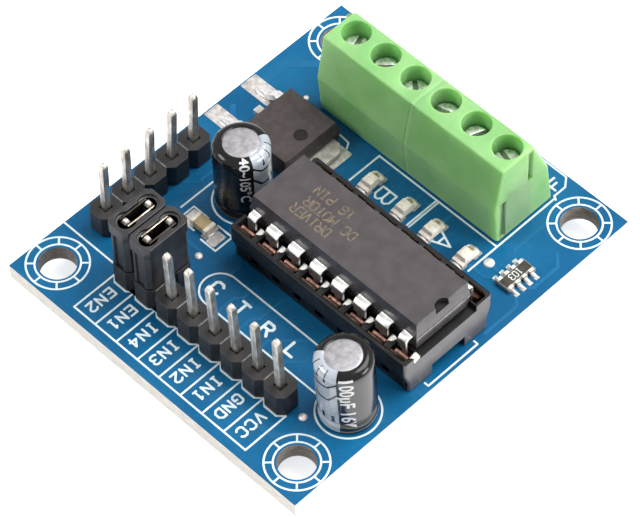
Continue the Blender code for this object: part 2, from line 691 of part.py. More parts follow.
# Socket: two rails of open pockets, end bars and a bridge, with a sprung contact in each pocket
def rail_outline(side):
    """A rail's section, as (y, z), on one side of the socket's middle."""
    half_top = SOCKET_WIDTH / 2
    half_foot = half_top - SOCKET_TAPER
    inner = SOCKET_GAP / 2
    shelf = CHIP_WIDTH / 2 + FIT_GAP
    section = [(inner, SEAT_GAP), (half_foot, SEAT_GAP), (half_foot, SOCKET_FLARE_LOW),
               (half_top, SOCKET_FLARE_HIGH), (half_top, SOCKET_HEIGHT), (shelf, SOCKET_HEIGHT),
               (shelf, SOCKET_SHELF_HEIGHT), (inner, SOCKET_SHELF_HEIGHT)]
    return [(side * y, z) for y, z in section]


def socket_frame():
    """The moulded frame before its pockets are cut."""
    half = SOCKET_LENGTH / 2
    inner = SOCKET_GAP / 2
    lap = inner + SOCKET_END / 4
    rails = [outline_mesh("rail", [rail_outline(side)], -half, half, "X") for side in (-1, 1)]
    bars = []
    for side in (-1, 1):
        low_x = min(side * half, side * (half - SOCKET_END))
        arch = SOCKET_NOTCH_WIDTH / 2
        section = [(-lap, SEAT_GAP), (-arch, SEAT_GAP), (-arch, SOCKET_NOTCH_HEIGHT)]
        section += [(arch, SOCKET_NOTCH_HEIGHT), (arch, SEAT_GAP), (lap, SEAT_GAP)]
        section += [(lap, SOCKET_SHELF_HEIGHT), (-lap, SOCKET_SHELF_HEIGHT)]
        bars.append(outline_mesh("bar", [section], low_x, low_x + SOCKET_END, "X"))
    bridge = SOCKET_BRIDGE / 2
    bars.append(box_mesh("bridge", (-bridge, -lap, SEAT_GAP), (bridge, lap, SOCKET_BRIDGE_HEIGHT)))
    frame = link_piece("ic_socket", rails[0], BLACK_NYLON, (SOCKET_X, SOCKET_Y, BOARD_TOP))
    combine(frame, rails[1], "UNION")
    combine(frame, joined_mesh("bars", bars), "UNION")
    return frame


def pocket_meshes():
    """The open pockets, one for each lead."""
    half = POCKET_LENGTH / 2
    above = SOCKET_HEIGHT * 2
    pockets = []
    for side in (-1, 1):
        ends = sorted((side * POCKET_INNER, side * POCKET_OUTER))
        for step in LEAD_STEPS:
            low = (step - half, ends[0], POCKET_FLOOR)
            pockets.append(box_mesh("pocket", low, (step + half, ends[1], above)))
    return pockets


def contact_meshes():
    """The sprung contacts: a leaf on each pocket's outer wall, a foot across its floor, and a tail."""
    bite = CONTACT_SHEET / 3
    half = CONTACT_WIDTH / 2
    pieces = []
    for side in (-1, 1):
        outer = POCKET_OUTER + bite
        inner = outer - CONTACT_SHEET
        row_y = ROW_SPAN / 2
        foot_low = POCKET_FLOOR - CONTACT_SHEET / 2
        foot_high = POCKET_FLOOR + CONTACT_SHEET / 2
        toe = row_y - CONTACT_TAIL_SHEET / 2
        heel = row_y + CONTACT_TAIL_SHEET / 2
        tail_foot = -BOARD_THICK - TAIL_LENGTH
        leaf = [(outer, foot_low), (outer, CONTACT_TOP - CONTACT_SHEET), (inner, CONTACT_TOP),
                (inner, foot_high), (toe, foot_high), (toe, foot_low)]
        tail = [(toe, tail_foot), (heel, tail_foot), (heel, POCKET_FLOOR), (toe, POCKET_FLOOR)]
        for step in LEAD_STEPS:
            for section, width in ((leaf, half), (tail, CONTACT_TAIL_WIDTH / 2)):
                loop = [(side * y, z) for y, z in section]
                contact = outline_mesh("contact", [loop], step - width, step + width, "X")
                pieces.append((contact, section is tail))
    leaves = [mesh for mesh, is_tail in pieces if not is_tail]
    tails = [mesh for mesh, is_tail in pieces if is_tail]
    return leaves, tails


socket = socket_frame()
combine(socket, joined_mesh("pockets", pocket_meshes()), "DIFFERENCE")
leaf_meshes, tail_meshes = contact_meshes()
combine(socket, joined_mesh("leaves", leaf_meshes), "UNION")
combine(socket, joined_mesh("tails", tail_meshes), "UNION")


# Driver chip
def chip_lead_meshes():
    """Leads that leave the body at its parting line, bend down and narrow into the socket."""
    level = CHIP_LIFT + CHIP_THICK / 2
    half_sheet = LEAD_SHEET / 2
    root = CHIP_WIDTH / 2 - LEAD_SHEET
    row_y = ROW_SPAN / 2
    shoulder_foot = level - LEAD_SHOULDER_DROP
    bend = LEAD_BEND
    shoulder = [(root, level - half_sheet), (row_y - half_sheet - bend / 2, level - half_sheet),
                (row_y - half_sheet, level - half_sheet - bend / 2), (row_y - half_sheet, shoulder_foot),
                (row_y + half_sheet, shoulder_foot), (row_y + half_sheet, level + half_sheet - bend),
                (row_y + half_sheet - bend, level + half_sheet), (root, level + half_sheet)]
    tip = [(row_y - half_sheet, LEAD_TIP_HEIGHT), (row_y + half_sheet, LEAD_TIP_HEIGHT),
           (row_y + half_sheet, shoulder_foot + half_sheet), (row_y - half_sheet, shoulder_foot + half_sheet)]
    shoulders = []
    tips = []
    last = len(LEAD_STEPS) - 1
    for side in (-1, 1):
        for number, step in enumerate(LEAD_STEPS):
            low_x = step - (LEAD_TIP_WIDTH / 2 if number == 0 else LEAD_SHOULDER / 2)
            high_x = step + (LEAD_TIP_WIDTH / 2 if number == last else LEAD_SHOULDER / 2)
            loop = [(side * y, z) for y, z in shoulder]
            shoulders.append(outline_mesh("shoulder", [loop], low_x, high_x, "X"))
            loop = [(side * y, z) for y, z in tip]
            half = LEAD_TIP_WIDTH / 2
            tips.append(outline_mesh("tip", [loop], step - half, step + half, "X"))
    return shoulders, tips


chip_low = (-CHIP_LENGTH / 2, -CHIP_WIDTH / 2, CHIP_LIFT)
chip_high = (CHIP_LENGTH / 2, CHIP_WIDTH / 2, CHIP_LIFT + CHIP_THICK)
chip_parting = CHIP_LIFT + CHIP_THICK / 2
chip_mesh = drafted_mesh("driver_ic", chip_low, chip_high, chip_parting, CHIP_DRAFT, CHIP_DRAFT)
chip = link_piece("driver_ic", chip_mesh, BLACK_EPOXY, (SOCKET_X, SOCKET_Y, BOARD_TOP))
notch_floor = CHIP_LIFT + CHIP_THICK - CHIP_NOTCH_DEPTH
notch_place = (CHIP_LENGTH / 2, 0.0)
notch = rod_mesh("notch", CHIP_NOTCH_R, notch_floor, notch_floor + CHIP_THICK, CUT_FACETS, notch_place)
combine(chip, notch, "DIFFERENCE")
shoulder_meshes, tip_meshes = chip_lead_meshes()
combine(chip, joined_mesh("shoulders", shoulder_meshes), "UNION")
combine(chip, joined_mesh("tips", tip_meshes), "UNION")


# Terminal housings
def housing_outline():
    """The housing's section, as (y, z), measured from its front foot."""
    top_front = TERMINAL_FRONT_LEAN
    top_back = top_front + TERMINAL_TOP_DEPTH
    return [(0.0, SEAT_GAP), (TERMINAL_DEPTH, SEAT_GAP),
            (TERMINAL_DEPTH - TERMINAL_BACK_LEAN, TERMINAL_BACK_STEP), (top_back, TERMINAL_HEIGHT),
            (top_front, TERMINAL_HEIGHT), (-TERMINAL_BELLY, TERMINAL_FRONT_STEP)]


def key_meshes(end_x, margin):
    """The two upright keys on a housing's left end, grown by a margin for the slots that take them."""
    low_x = end_x - KEY_DEPTH - margin
    low_key = (KEY_LOW_START, KEY_LOW_WIDTH, KEY_LOW_FOOT, KEY_LOW_TOP)
    high_key = (KEY_HIGH_START, KEY_HIGH_WIDTH, KEY_HIGH_FOOT, TERMINAL_HEIGHT - KEY_DEPTH)
    keys = []
    for start, width, foot, top in (low_key, high_key):
        low = (low_x, start - margin, foot - margin)
        high = (end_x + KEY_DEPTH, start + width + margin, top + margin)
        keys.append(box_mesh("key", low, high))
    return keys


def way_cutters():
    """What is cut from the housing for each way: the screw's well and neck, the chamber, the wire's entry."""
    well_floor = TERMINAL_HEIGHT - SCREW_WELL_DEPTH
    above = TERMINAL_HEIGHT * 2
    chamber = CHAMBER_WIDTH / 2
    entry = ENTRY_WIDTH / 2
    chamber_front = STRIP_LEG_Y - STRIP_SHEET / 2 - FIT_GAP - TERMINAL_FRONT
    chamber_back = SCREW_INSET + CAGE_DEPTH / 2 + FIT_GAP
    wells = []
    chambers = []
    entries = []
    for x in row(WAYS_PER_HOUSING, WAY_PITCH, 0.0):
        wells.append(rod_mesh("well", SCREW_WELL_D / 2, well_floor, above, CUT_FACETS, (x, SCREW_INSET)))
        neck_low = CHAMBER_TOP - SEAT_GAP
        neck_high = well_floor + SEAT_GAP
        wells.append(rod_mesh("neck", SCREW_NECK_D / 2, neck_low, neck_high, CUT_FACETS, (x, SCREW_INSET)))
        chambers.append(box_mesh("chamber", (x - chamber, chamber_front, -SEAT_GAP),
                                 (x + chamber, chamber_back, CHAMBER_TOP)))
        entries.append(box_mesh("entry", (x - entry, chamber_back - SEAT_GAP, ENTRY_SILL),
                                (x + entry, TERMINAL_DEPTH * 2, ENTRY_SILL + ENTRY_HEIGHT)))
    return wells, chambers, entries


def housing_mesh():
    """One three-way housing, its origin at the middle of its front foot."""
    half = HOUSING_LENGTH / 2
    body = outline_mesh("housing", [housing_outline()], -half, half - SEAT_GAP, "X")
    housing = link_piece("housing", body, GREEN_NYLON)
    soften(housing, TERMINAL_EDGE)
    combine(housing, joined_mesh("keys", key_meshes(-half, 0.0)), "UNION")
    combine(housing, joined_mesh("slots", key_meshes(half, FIT_GAP)), "DIFFERENCE")
    wells, chambers, entries = way_cutters()
    combine(housing, joined_mesh("wells", wells[0::2]), "DIFFERENCE")
    combine(housing, joined_mesh("necks", wells[1::2]), "DIFFERENCE")
    combine(housing, joined_mesh("chambers", chambers), "DIFFERENCE")
    combine(housing, joined_mesh("entries", entries), "DIFFERENCE")
    mesh = baked(housing).data
    bpy.data.objects.remove(housing, do_unlink=True)
    return mesh


housing = housing_mesh()
for number, x in enumerate(HOUSING_XS, 1):
    link_piece(f"terminal_housing_{number}", housing, None, (x, TERMINAL_FRONT, BOARD_TOP))


# Clamping screws, lifting cages and solder strips. Turning a screw lifts its cage, which
# presses the wire up against the fixed strip.
def screw_mesh():
    """A slotted screw, its origin on its axis at the board's top face."""
    head = SCREW_HEAD_D / 2
    shank = SCREW_SHANK_D / 2
    head_top = TERMINAL_HEIGHT - SCREW_HEAD_DROP
    head_foot = head_top - SCREW_HEAD_HEIGHT
    tip = STRIP_HEIGHT + STRIP_SHEET + SEAT_GAP
    edge = SLOT_WIDTH / 2
    profile = [(0.0, head_top), (head - edge, head_top), (head, head_top - edge), (head, head_foot),
               (shank, head_foot), (shank, tip + edge), (shank - edge, tip), (0.0, tip)]
    screw = turned("screw", profile, SCREW_FACETS, PLATED_STEEL, (0.0, 0.0, 0.0))
    slot_low = (-SCREW_HEAD_D, -SLOT_WIDTH / 2, head_top - SLOT_DEPTH)
    slot_high = (SCREW_HEAD_D, SLOT_WIDTH / 2, head_top + SLOT_DEPTH)
    combine(screw, box_mesh("slot", slot_low, slot_high), "DIFFERENCE")
    mesh = baked(screw).data
    bpy.data.objects.remove(screw, do_unlink=True)
    mesh.set_sharp_from_angle(angle=SHARP_ANGLE)
    return mesh


def cage_mesh():
    """A square loop of steel, open front and back, with the screw's hole in its top."""
    half = CAGE_WIDTH / 2
    inner = half - CAGE_SHEET
    depth = CAGE_DEPTH / 2
    top = CAGE_REST + CAGE_HEIGHT
    outer_loop = rectangle((CAGE_REST, -half), (top, half))
    inner_loop = rectangle((CAGE_REST + CAGE_SHEET, -inner), (top - CAGE_SHEET, inner))
    loop = outline_mesh("cage", [outer_loop, inner_loop], -depth, depth, "Y")
    cage = link_piece("cage", loop, PLATED_STEEL)
    thread_r = SCREW_SHANK_D / 2 + THREAD_GAP
    thread = rod_mesh("thread", thread_r, top - CAGE_SHEET * 2, top + CAGE_SHEET, CUT_FACETS)
    combine(cage, thread, "DIFFERENCE")
    mesh = baked(cage).data
    bpy.data.objects.remove(cage, do_unlink=True)
    return mesh


def strip_mesh():
    """A strip that runs through the cage and turns down in front of it, with a narrower tail."""
    leg = STRIP_LEG_Y - SCREW_Y
    leg_front = leg - STRIP_SHEET / 2
    leg_back = leg + STRIP_SHEET / 2
    far = CAGE_DEPTH / 2
    top = STRIP_HEIGHT + STRIP_SHEET
    foot = -BOARD_THICK - TAIL_LENGTH
    outline = [(leg_front, SEAT_GAP), (leg_back, SEAT_GAP), (leg_back, STRIP_HEIGHT), (far, STRIP_HEIGHT),
               (far, top), (leg_front, top)]
    bent_strip = outline_mesh("strip", [outline], -STRIP_WIDTH / 2, STRIP_WIDTH / 2, "X")
    strip = link_piece("strip", bent_strip, TINNED)
    tail_low = (-STRIP_TAIL_WIDTH / 2, leg_front, foot)
    tail_high = (STRIP_TAIL_WIDTH / 2, leg_back, STRIP_HEIGHT / 2)
    combine(strip, box_mesh("tail", tail_low, tail_high), "UNION")
    mesh = baked(strip).data
    bpy.data.objects.remove(strip, do_unlink=True)
    return mesh


SLOT_TURNS = (1.9, 0.75, 2.45, 0.2, 1.2, 2.9)
screw = screw_mesh()
cage = cage_mesh()
strip = strip_mesh()
for number, x in enumerate(WAY_XS, 1):
    screw_place = (x, SCREW_Y, BOARD_TOP)
    slot_turn = SLOT_TURNS[(number - 1) % len(SLOT_TURNS)]
    link_piece(f"terminal_screw_{number}", screw, None, screw_place, slot_turn)
    link_piece(f"wire_cage_{number}", cage, None, screw_place)
    link_piece(f"solder_strip_{number}", strip, None, screw_place)


# Electrolytic capacitors: a sleeved can, and the rubber bung that holds its two legs
def can_profile():
    """Half section of the can in its sleeve, top to bottom."""
    radius = CAN_D / 2
    disc = radius - CAN_LIP
    waist = radius - CAN_WAIST_DEPTH
    well = CAN_WELL_D / 2
    foot = SEAT_GAP
    well_top = foot + CAN_WELL_DEPTH
    disc_level = CAN_HEIGHT - CAN_TOP_DROP
    crown = [(0.0, disc_level), (disc, disc_level), (disc + CAN_TOP_DROP, CAN_HEIGHT),
             (radius - CAN_ROUND, CAN_HEIGHT), (radius - CAN_ROUND_CUT, CAN_HEIGHT - CAN_ROUND_CUT)]
    side = [(radius, CAN_HEIGHT - CAN_ROUND), (radius, CAN_WAIST_HEIGHT + CAN_ROUND),
            (waist, CAN_WAIST_HEIGHT), (radius, CAN_WAIST_HEIGHT - CAN_ROUND)]
    hem = [(radius, foot + CAN_ROUND / 2), (radius - CAN_ROUND / 2, foot), (well, foot)]
    return crown + side + hem + [(well, well_top), (0.0, well_top)]


def bung_mesh():
    """The bung with its legs, which pass down through the board."""
    top = SEAT_GAP + CAN_WELL_DEPTH - FIT_GAP
    radius = CAN_WELL_D / 2 - FIT_GAP
    bung = link_piece("bung", rod_mesh("bung", radius, SEAT_GAP, top, CAN_FACETS), BLACK_RUBBER)
    foot = -BOARD_THICK - TAIL_LENGTH
    legs = [rod_mesh("leg", LEG_D / 2, foot, top / 2, HOLE_FACETS, (side * LEG_SPAN / 2, 0.0))
            for side in (-1, 1)]
    combine(bung, joined_mesh("legs", legs), "UNION")
    mesh = baked(bung).data
    bpy.data.objects.remove(bung, do_unlink=True)
    return mesh


bung = bung_mesh()
for number, (x, y, lean) in enumerate(((CAN_1_X, CAN_1_Y, 0.0), (CAN_2_X, CAN_2_Y, CAN_2_LEAN)), 1):
    # A leaning can tips towards the control pins' corner and stands on the rim of its foot.
    can_place = (x, y, BOARD_TOP + math.sin(lean) * CAN_D / 2)
    tip_over = Matrix.Rotation(lean, 4, (1.0, -1.0, 0.0)).to_euler()
    can = turned(f"capacitor_can_{number}", can_profile(), CAN_FACETS, BLACK_SLEEVE, can_place)
    can.rotation_euler = tip_over
    held_bung = link_piece(f"capacitor_bung_{number}", bung, None, can_place)
    held_bung.rotation_euler = tip_over


# Voltage regulator: a moulded body over a metal tab, two formed leads and a cut-off middle lead
def tab_outline(margin):
    """The tab seen from above, from inside the body to its end with cut corners."""
    half = REG_TAB_WIDTH / 2 + margin
    inside = REG_LENGTH / 2 - REG_TAB_INSIDE - margin
    end = REG_LENGTH / 2 + REG_TAB_REACH + margin
    corner = REG_TAB_CORNER
    return [(inside, -half), (end - corner, -half), (end, -half + corner), (end, half - corner),
            (end - corner, half), (inside, half)]


def stub_meshes(margin):
    """The middle lead: it rises from the tab inside the body and is cut off outside it."""
    half = REG_LEAD_WIDTH / 2 + margin
    inside = REG_LENGTH / 2 - REG_TAB_INSIDE
    low = REG_LEAD_EXIT - margin
    high = REG_LEAD_EXIT + REG_LEAD_SHEET + margin
    rise = box_mesh("rise", (inside - margin, -half, SEAT_GAP + REG_TAB_SHEET / 2),
                    (inside + REG_LEAD_SHEET + margin, half, high))
    reach = box_mesh("reach", (-REG_LENGTH / 2 - REG_STUB_REACH - margin, -half, low),
                     (inside + REG_LEAD_SHEET / 2, half, high))
    return rise, reach


def reg_lead_mesh():
    """A lead that leaves the body level, drops and runs out flat on its pad, as (z, x) points."""
    sheet = REG_LEAD_SHEET
    face = -REG_LENGTH / 2
    tip = face - REG_LEAD_REACH
    knee = tip + REG_LEAD_FOOT
    root = face + REG_LEAD_INSIDE
    exit_low = REG_LEAD_EXIT
    exit_high = REG_LEAD_EXIT + sheet
    bend = face - sheet
    outline = [(SEAT_GAP, tip), (SEAT_GAP, knee), (exit_low, bend), (exit_low, root), (exit_high, root),
               (exit_high, bend - sheet / 2), (SEAT_GAP + sheet, knee - sheet / 2), (SEAT_GAP + sheet, tip)]
    half = REG_LEAD_WIDTH / 2
    mesh = outline_mesh("reg_lead", [outline], -half, half, "Y")
    mesh.materials.append(TINNED)
    return mesh


reg_place = (REG_X, REG_Y, BOARD_TOP)
reg_low = (-REG_LENGTH / 2, -REG_WIDTH / 2, SEAT_GAP)
reg_high = (REG_LENGTH / 2, REG_WIDTH / 2, REG_HEIGHT)
reg_mesh = drafted_mesh("regulator_body", reg_low, reg_high, REG_PARTING, REG_DRAFT / 2, REG_DRAFT)
reg_body = link_piece("regulator_body", reg_mesh, BLACK_EPOXY, reg_place)
tab_pocket = outline_mesh("tab_pocket", [tab_outline(FIT_GAP)], -SEAT_GAP, SEAT_GAP + REG_TAB_SHEET + FIT_GAP)
combine(reg_body, tab_pocket, "DIFFERENCE")
rise_pocket, reach_pocket = stub_meshes(FIT_GAP)
combine(reg_body, rise_pocket, "DIFFERENCE")
combine(reg_body, reach_pocket, "DIFFERENCE")
lead_pockets = []
for side in (-1, 1):
    pocket_y = side * REG_LEAD_PITCH
    pocket_half = REG_LEAD_WIDTH / 2 + FIT_GAP
    pocket_low = (-REG_LENGTH, pocket_y - pocket_half, REG_LEAD_EXIT - FIT_GAP)
    pocket_end = -REG_LENGTH / 2 + REG_LEAD_INSIDE + FIT_GAP
    pocket_high = (pocket_end, pocket_y + pocket_half, REG_LEAD_EXIT + REG_LEAD_SHEET + FIT_GAP)
    lead_pockets.append(box_mesh("lead_pocket", pocket_low, pocket_high))
combine(reg_body, joined_mesh("lead_pockets", lead_pockets), "DIFFERENCE")
dimple_x = REG_LENGTH / 2 - REG_DIMPLE_INSET
dimple_low = REG_HEIGHT - REG_DIMPLE_DEPTH
dimple = rod_mesh("dimple", REG_DIMPLE_R, dimple_low, REG_HEIGHT * 2, CUT_FACETS, (dimple_x, 0.0))
combine(reg_body, dimple, "DIFFERENCE")

tab_plate = outline_mesh("regulator_tab", [tab_outline(0.0)], SEAT_GAP, SEAT_GAP + REG_TAB_SHEET)
reg_tab = link_piece("regulator_tab", tab_plate, TINNED, reg_place)
for stub_mesh in stub_meshes(0.0):
    combine(reg_tab, stub_mesh, "UNION")
reg_lead = reg_lead_mesh()
for number, side in enumerate((-1, 1), 1):
    lead_place = (REG_X, REG_Y + side * REG_LEAD_PITCH, BOARD_TOP)
    link_piece(f"regulator_lead_{number}", reg_lead, None, lead_place)


# Indicator lights: a flat base with a moulded lens on it
def led_mesh():
    """One light, long along Y."""
    half_x = LED_WIDTH / 2
    half_y = LED_LENGTH / 2
    lens_y = LED_LENS_LENGTH / 2
    base = box_mesh("led_base", (-half_x, -half_y, SEAT_GAP), (half_x, half_y, LED_BASE_HEIGHT))
    lens_foot = LED_BASE_HEIGHT - SEAT_GAP
    lens = drafted_mesh("led_lens", (-half_x, -lens_y, lens_foot), (half_x, lens_y, LED_HEIGHT),
                        LED_BASE_HEIGHT, 0.0, LED_LENS_DRAFT)
    light = link_piece("led", base, LED_RESIN)
    combine(light, lens, "UNION")
    mesh = baked(light).data
    bpy.data.objects.remove(light, do_unlink=True)
    return mesh


led = led_mesh()
for number, x in enumerate(LED_XS, 1):
    link_piece(f"led_{number}", led, None, (x, LED_Y, BOARD_TOP))

# Chip capacitor: a ceramic block with a thin metal cap fired on each end
block_half = (CHIP_CAP_LENGTH / 2, CHIP_CAP_WIDTH / 2)
core_low = (-block_half[0] + CHIP_CAP_SKIN, -block_half[1] + CHIP_CAP_SKIN, SEAT_GAP + CHIP_CAP_SKIN)
core_high = (block_half[0] - CHIP_CAP_SKIN, block_half[1] - CHIP_CAP_SKIN, CHIP_CAP_HEIGHT - CHIP_CAP_SKIN)
ceramic = box_mesh("chip_capacitor", core_low, core_high)
chip_cap = link_piece("chip_capacitor", ceramic, TAN_CERAMIC, (CHIP_CAP_X, CHIP_CAP_Y, BOARD_TOP))
end_caps = []
for side in (-1, 1):
    end_xs = sorted((side * block_half[0], side * (block_half[0] - CHIP_CAP_END)))
    end_caps.append(box_mesh("end_cap", (end_xs[0], -block_half[1], SEAT_GAP),
                             (end_xs[1], block_half[1], CHIP_CAP_HEIGHT)))
combine(chip_cap, joined_mesh("end_caps", end_caps), "UNION")


# Resistor array: four elements in one block, with a notch between each two of its terminals
def array_outline():
    """The block seen from above, long along Y."""
    half_x = ARRAY_WIDTH / 2
    half_y = ARRAY_LENGTH / 2
    half_notch = ARRAY_NOTCH_WIDTH / 2
    floor = half_x - ARRAY_NOTCH_DEPTH
    side = [(half_x, -half_y)]
    for y in row(ARRAY_ELEMENTS - 1, ARRAY_PITCH, 0.0):
        side += [(half_x, y - half_notch), (floor, y - half_notch)]
        side += [(floor, y + half_notch), (half_x, y + half_notch)]
    side.append((half_x, half_y))
    return side + [(-x, -y) for x, y in side]


array_block = outline_mesh("resistor_array", [array_outline()], SEAT_GAP, ARRAY_HEIGHT)
link_piece("resistor_array", array_block, DARK_GLAZE, (ARRAY_X, ARRAY_Y, BOARD_TOP))
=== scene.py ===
"""Dressed scene of a small circuit module that drives two direct-current motors.

Metres, +Z up. The origin is the centre of the board's underside. +X runs along the row of
control pins, and +Y runs from the control pins towards the screw terminals.
"""

import json
import math

import bmesh
import bpy
from bmesh.types import BMFace, BMVert
from mathutils import Matrix, Vector

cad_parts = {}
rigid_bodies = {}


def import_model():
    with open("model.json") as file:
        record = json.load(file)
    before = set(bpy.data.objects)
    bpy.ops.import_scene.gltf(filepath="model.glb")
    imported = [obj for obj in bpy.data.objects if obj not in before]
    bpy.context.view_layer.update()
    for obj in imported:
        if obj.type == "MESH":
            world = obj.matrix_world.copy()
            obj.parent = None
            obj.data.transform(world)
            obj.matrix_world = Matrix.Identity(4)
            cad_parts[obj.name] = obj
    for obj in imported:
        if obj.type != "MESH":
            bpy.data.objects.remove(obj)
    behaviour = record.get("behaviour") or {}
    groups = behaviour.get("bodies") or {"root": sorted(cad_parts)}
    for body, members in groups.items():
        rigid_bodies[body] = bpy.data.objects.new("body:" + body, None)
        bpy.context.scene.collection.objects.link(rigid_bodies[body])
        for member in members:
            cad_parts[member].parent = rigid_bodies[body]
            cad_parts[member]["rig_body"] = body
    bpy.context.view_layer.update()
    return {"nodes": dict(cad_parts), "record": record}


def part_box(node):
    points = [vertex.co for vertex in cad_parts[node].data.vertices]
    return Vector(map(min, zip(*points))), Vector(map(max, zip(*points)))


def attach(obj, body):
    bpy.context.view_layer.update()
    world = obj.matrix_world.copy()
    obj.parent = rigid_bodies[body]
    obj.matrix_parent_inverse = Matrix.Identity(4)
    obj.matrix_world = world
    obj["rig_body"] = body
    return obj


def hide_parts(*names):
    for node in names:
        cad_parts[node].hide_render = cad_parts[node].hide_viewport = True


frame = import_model()
nodes = frame["nodes"]
slots = {part["node"]: part["material_slot"] for part in frame["record"]["subparts"]}


# Camera
# It looks down on the corner between the control pins and the power pins, through a long lens.
def placed(name, data):
    """A new object in the scene."""
    thing = bpy.data.objects.new(name, data)
    bpy.context.scene.collection.objects.link(thing)
    return thing


camera_place = Vector((0.139228, -0.13128, 0.261342))
camera_forward = Vector((-0.42919, 0.40477, -0.80744))
camera_right = Vector((0.70624, 0.70767, -0.02064))
camera_up = camera_right.cross(camera_forward)
camera_turn = Matrix((camera_right, camera_up, -camera_forward)).transposed().to_4x4()
camera = placed("camera", bpy.data.cameras.new("camera"))
camera.matrix_world = Matrix.Translation(camera_place) @ camera_turn
camera.data.sensor_width = 36.0
camera.data.lens = 216.717
camera.data.clip_start = 0.01
bpy.context.scene.camera = camera
bpy.context.scene.view_settings.view_transform = "Standard"


# Studio
# A white sheet under the module and white walls, lit by one broad lamp from above and behind, and
# two weaker ones from the right and from the front left. The camera and metal see the walls white.
def seen_directly(tree):
    """One where a camera, mirror or glass ray arrives, nothing where the surface only lends light."""
    path = tree.nodes.new("ShaderNodeLightPath")
    total = path.outputs["Is Camera Ray"]
    for kind in ("Is Glossy Ray", "Is Transmission Ray"):
        most = tree.nodes.new("ShaderNodeMath")
        most.operation = "MAXIMUM"
        tree.links.new(total, most.inputs[0])
        tree.links.new(path.outputs[kind], most.inputs[1])
        total = most.outputs[0]
    return total


def preset(node, values):
    """Sets inputs of a node, which are named or numbered."""
    for key, value in values.items():
        node.inputs[key].default_value = value
    return node


def ranged(tree, value, start, end, low, high):
    """A value that runs from start to end, made to run from low to high."""
    ramp = preset(tree.nodes.new("ShaderNodeMapRange"),
                  {"From Min": start, "From Max": end, "To Min": low, "To Max": high})
    tree.links.new(value, ramp.inputs["Value"])
    return ramp.outputs["Result"]


world = bpy.data.worlds.new("white_walls")
bpy.context.scene.world = world
world.use_nodes = True
walls = preset(world.node_tree.nodes["Background"], {"Color": (1.0, 1.0, 1.0, 1.0)})
wall_level = ranged(world.node_tree, seen_directly(world.node_tree), 0.0, 1.0, 0.42, 1.0)
world.node_tree.links.new(wall_level, walls.inputs["Strength"])


def lamp(name, place, size, power):
    """A square soft lamp that points at the module."""
    light = bpy.data.lights.new(name, "AREA")
    light.shape = "SQUARE"
    light.size = size
    light.energy = power
    holder = placed(name, light)
    holder.location = place
    holder.rotation_euler = (-Vector(place)).to_track_quat("-Z", "Y").to_euler()


lamp("overhead_lamp", (0.06, 0.15, 0.29), 0.2, 0.95)
lamp("right_lamp", (0.26, 0.13, 0.13), 0.12, 0.58)
lamp("left_lamp", (-0.19, -0.21, 0.24), 0.13, 0.58)

sheet_level = -0.00151
sheet_shape = bmesh.new()
bmesh.ops.create_grid(sheet_shape, x_segments=1, y_segments=1, size=1.5,
                      matrix=Matrix.Translation((0.0, 0.0, sheet_level)))
sheet_mesh = bpy.data.meshes.new("white_sheet")
sheet_shape.to_mesh(sheet_mesh)
sheet_shape.free()
sheet = placed("white_sheet", sheet_mesh)
sheet_finish = bpy.data.materials.new("white_sheet")
sheet_finish.use_nodes = True
sheet_tree = sheet_finish.node_tree
sheet_shader = preset(sheet_tree.nodes["Principled BSDF"], {
    "Base Color": (0.8, 0.8, 0.8, 1.0), "Emission Color": (1.0, 1.0, 1.0, 1.0),
    "Roughness": 0.9, "Specular IOR Level": 0.1})
sheet_glow = preset(sheet_tree.nodes.new("ShaderNodeMath"), {1: 0.7})
sheet_glow.operation = "MULTIPLY"
sheet_tree.links.new(seen_directly(sheet_tree), sheet_glow.inputs[0])
sheet_tree.links.new(sheet_glow.outputs[0], sheet_shader.inputs["Emission Strength"])
sheet_mesh.materials.append(sheet_finish)


# Circuit board
# Glass-epoxy sheet with copper under a blue solder mask on both faces. The edges and the walls
# of the mounting holes show the bare laminate, and the copper tracks stand up a little.
def noise(tree, place, size, detail):
    """Noise with patches of about one size."""
    texture = preset(tree.nodes.new("ShaderNodeTexNoise"), {"Scale": 1.0 / size, "Detail": detail})
    tree.links.new(place, texture.inputs["Vector"])
    return texture.outputs["Fac"]


def finish(name, dark, light, patch, rough, grain=0.0001, relief=0.0, metallic=0.0, coat=0.0,
           specular=0.5, stretch=(1.0, 1.0, 1.0)):
    """A material whose tone wanders over patches, with finer grain in its gloss and its relief."""
    material = bpy.data.materials.new(name)
    material.use_nodes = True
    tree = material.node_tree
    shader = preset(tree.nodes["Principled BSDF"],
                    {"Metallic": metallic, "Coat Weight": coat, "Specular IOR Level": specular})
    place = tree.nodes.new("ShaderNodeTexCoord")
    drawn_out = preset(tree.nodes.new("ShaderNodeMapping"), {"Scale": stretch})
    tree.links.new(place.outputs["Object"], drawn_out.inputs["Vector"])
    wander = noise(tree, drawn_out.outputs["Vector"], patch, 4.0)
    fine = noise(tree, drawn_out.outputs["Vector"], grain, 3.0)
    tone = preset(tree.nodes.new("ShaderNodeMix"), {6: (*dark, 1.0), 7: (*light, 1.0)})
    tone.data_type = "RGBA"
    tree.links.new(ranged(tree, wander, 0.35, 0.65, 0.0, 1.0), tone.inputs[0])
    tree.links.new(tone.outputs[2], shader.inputs["Base Color"])
    tree.links.new(ranged(tree, fine, 0.3, 0.7, *rough), shader.inputs["Roughness"])
    if relief:
        bump = preset(tree.nodes.new("ShaderNodeBump"), {"Distance": relief})
        tree.links.new(fine, bump.inputs["Height"])
        tree.links.new(bump.outputs["Normal"], shader.inputs["Normal"])
    return material


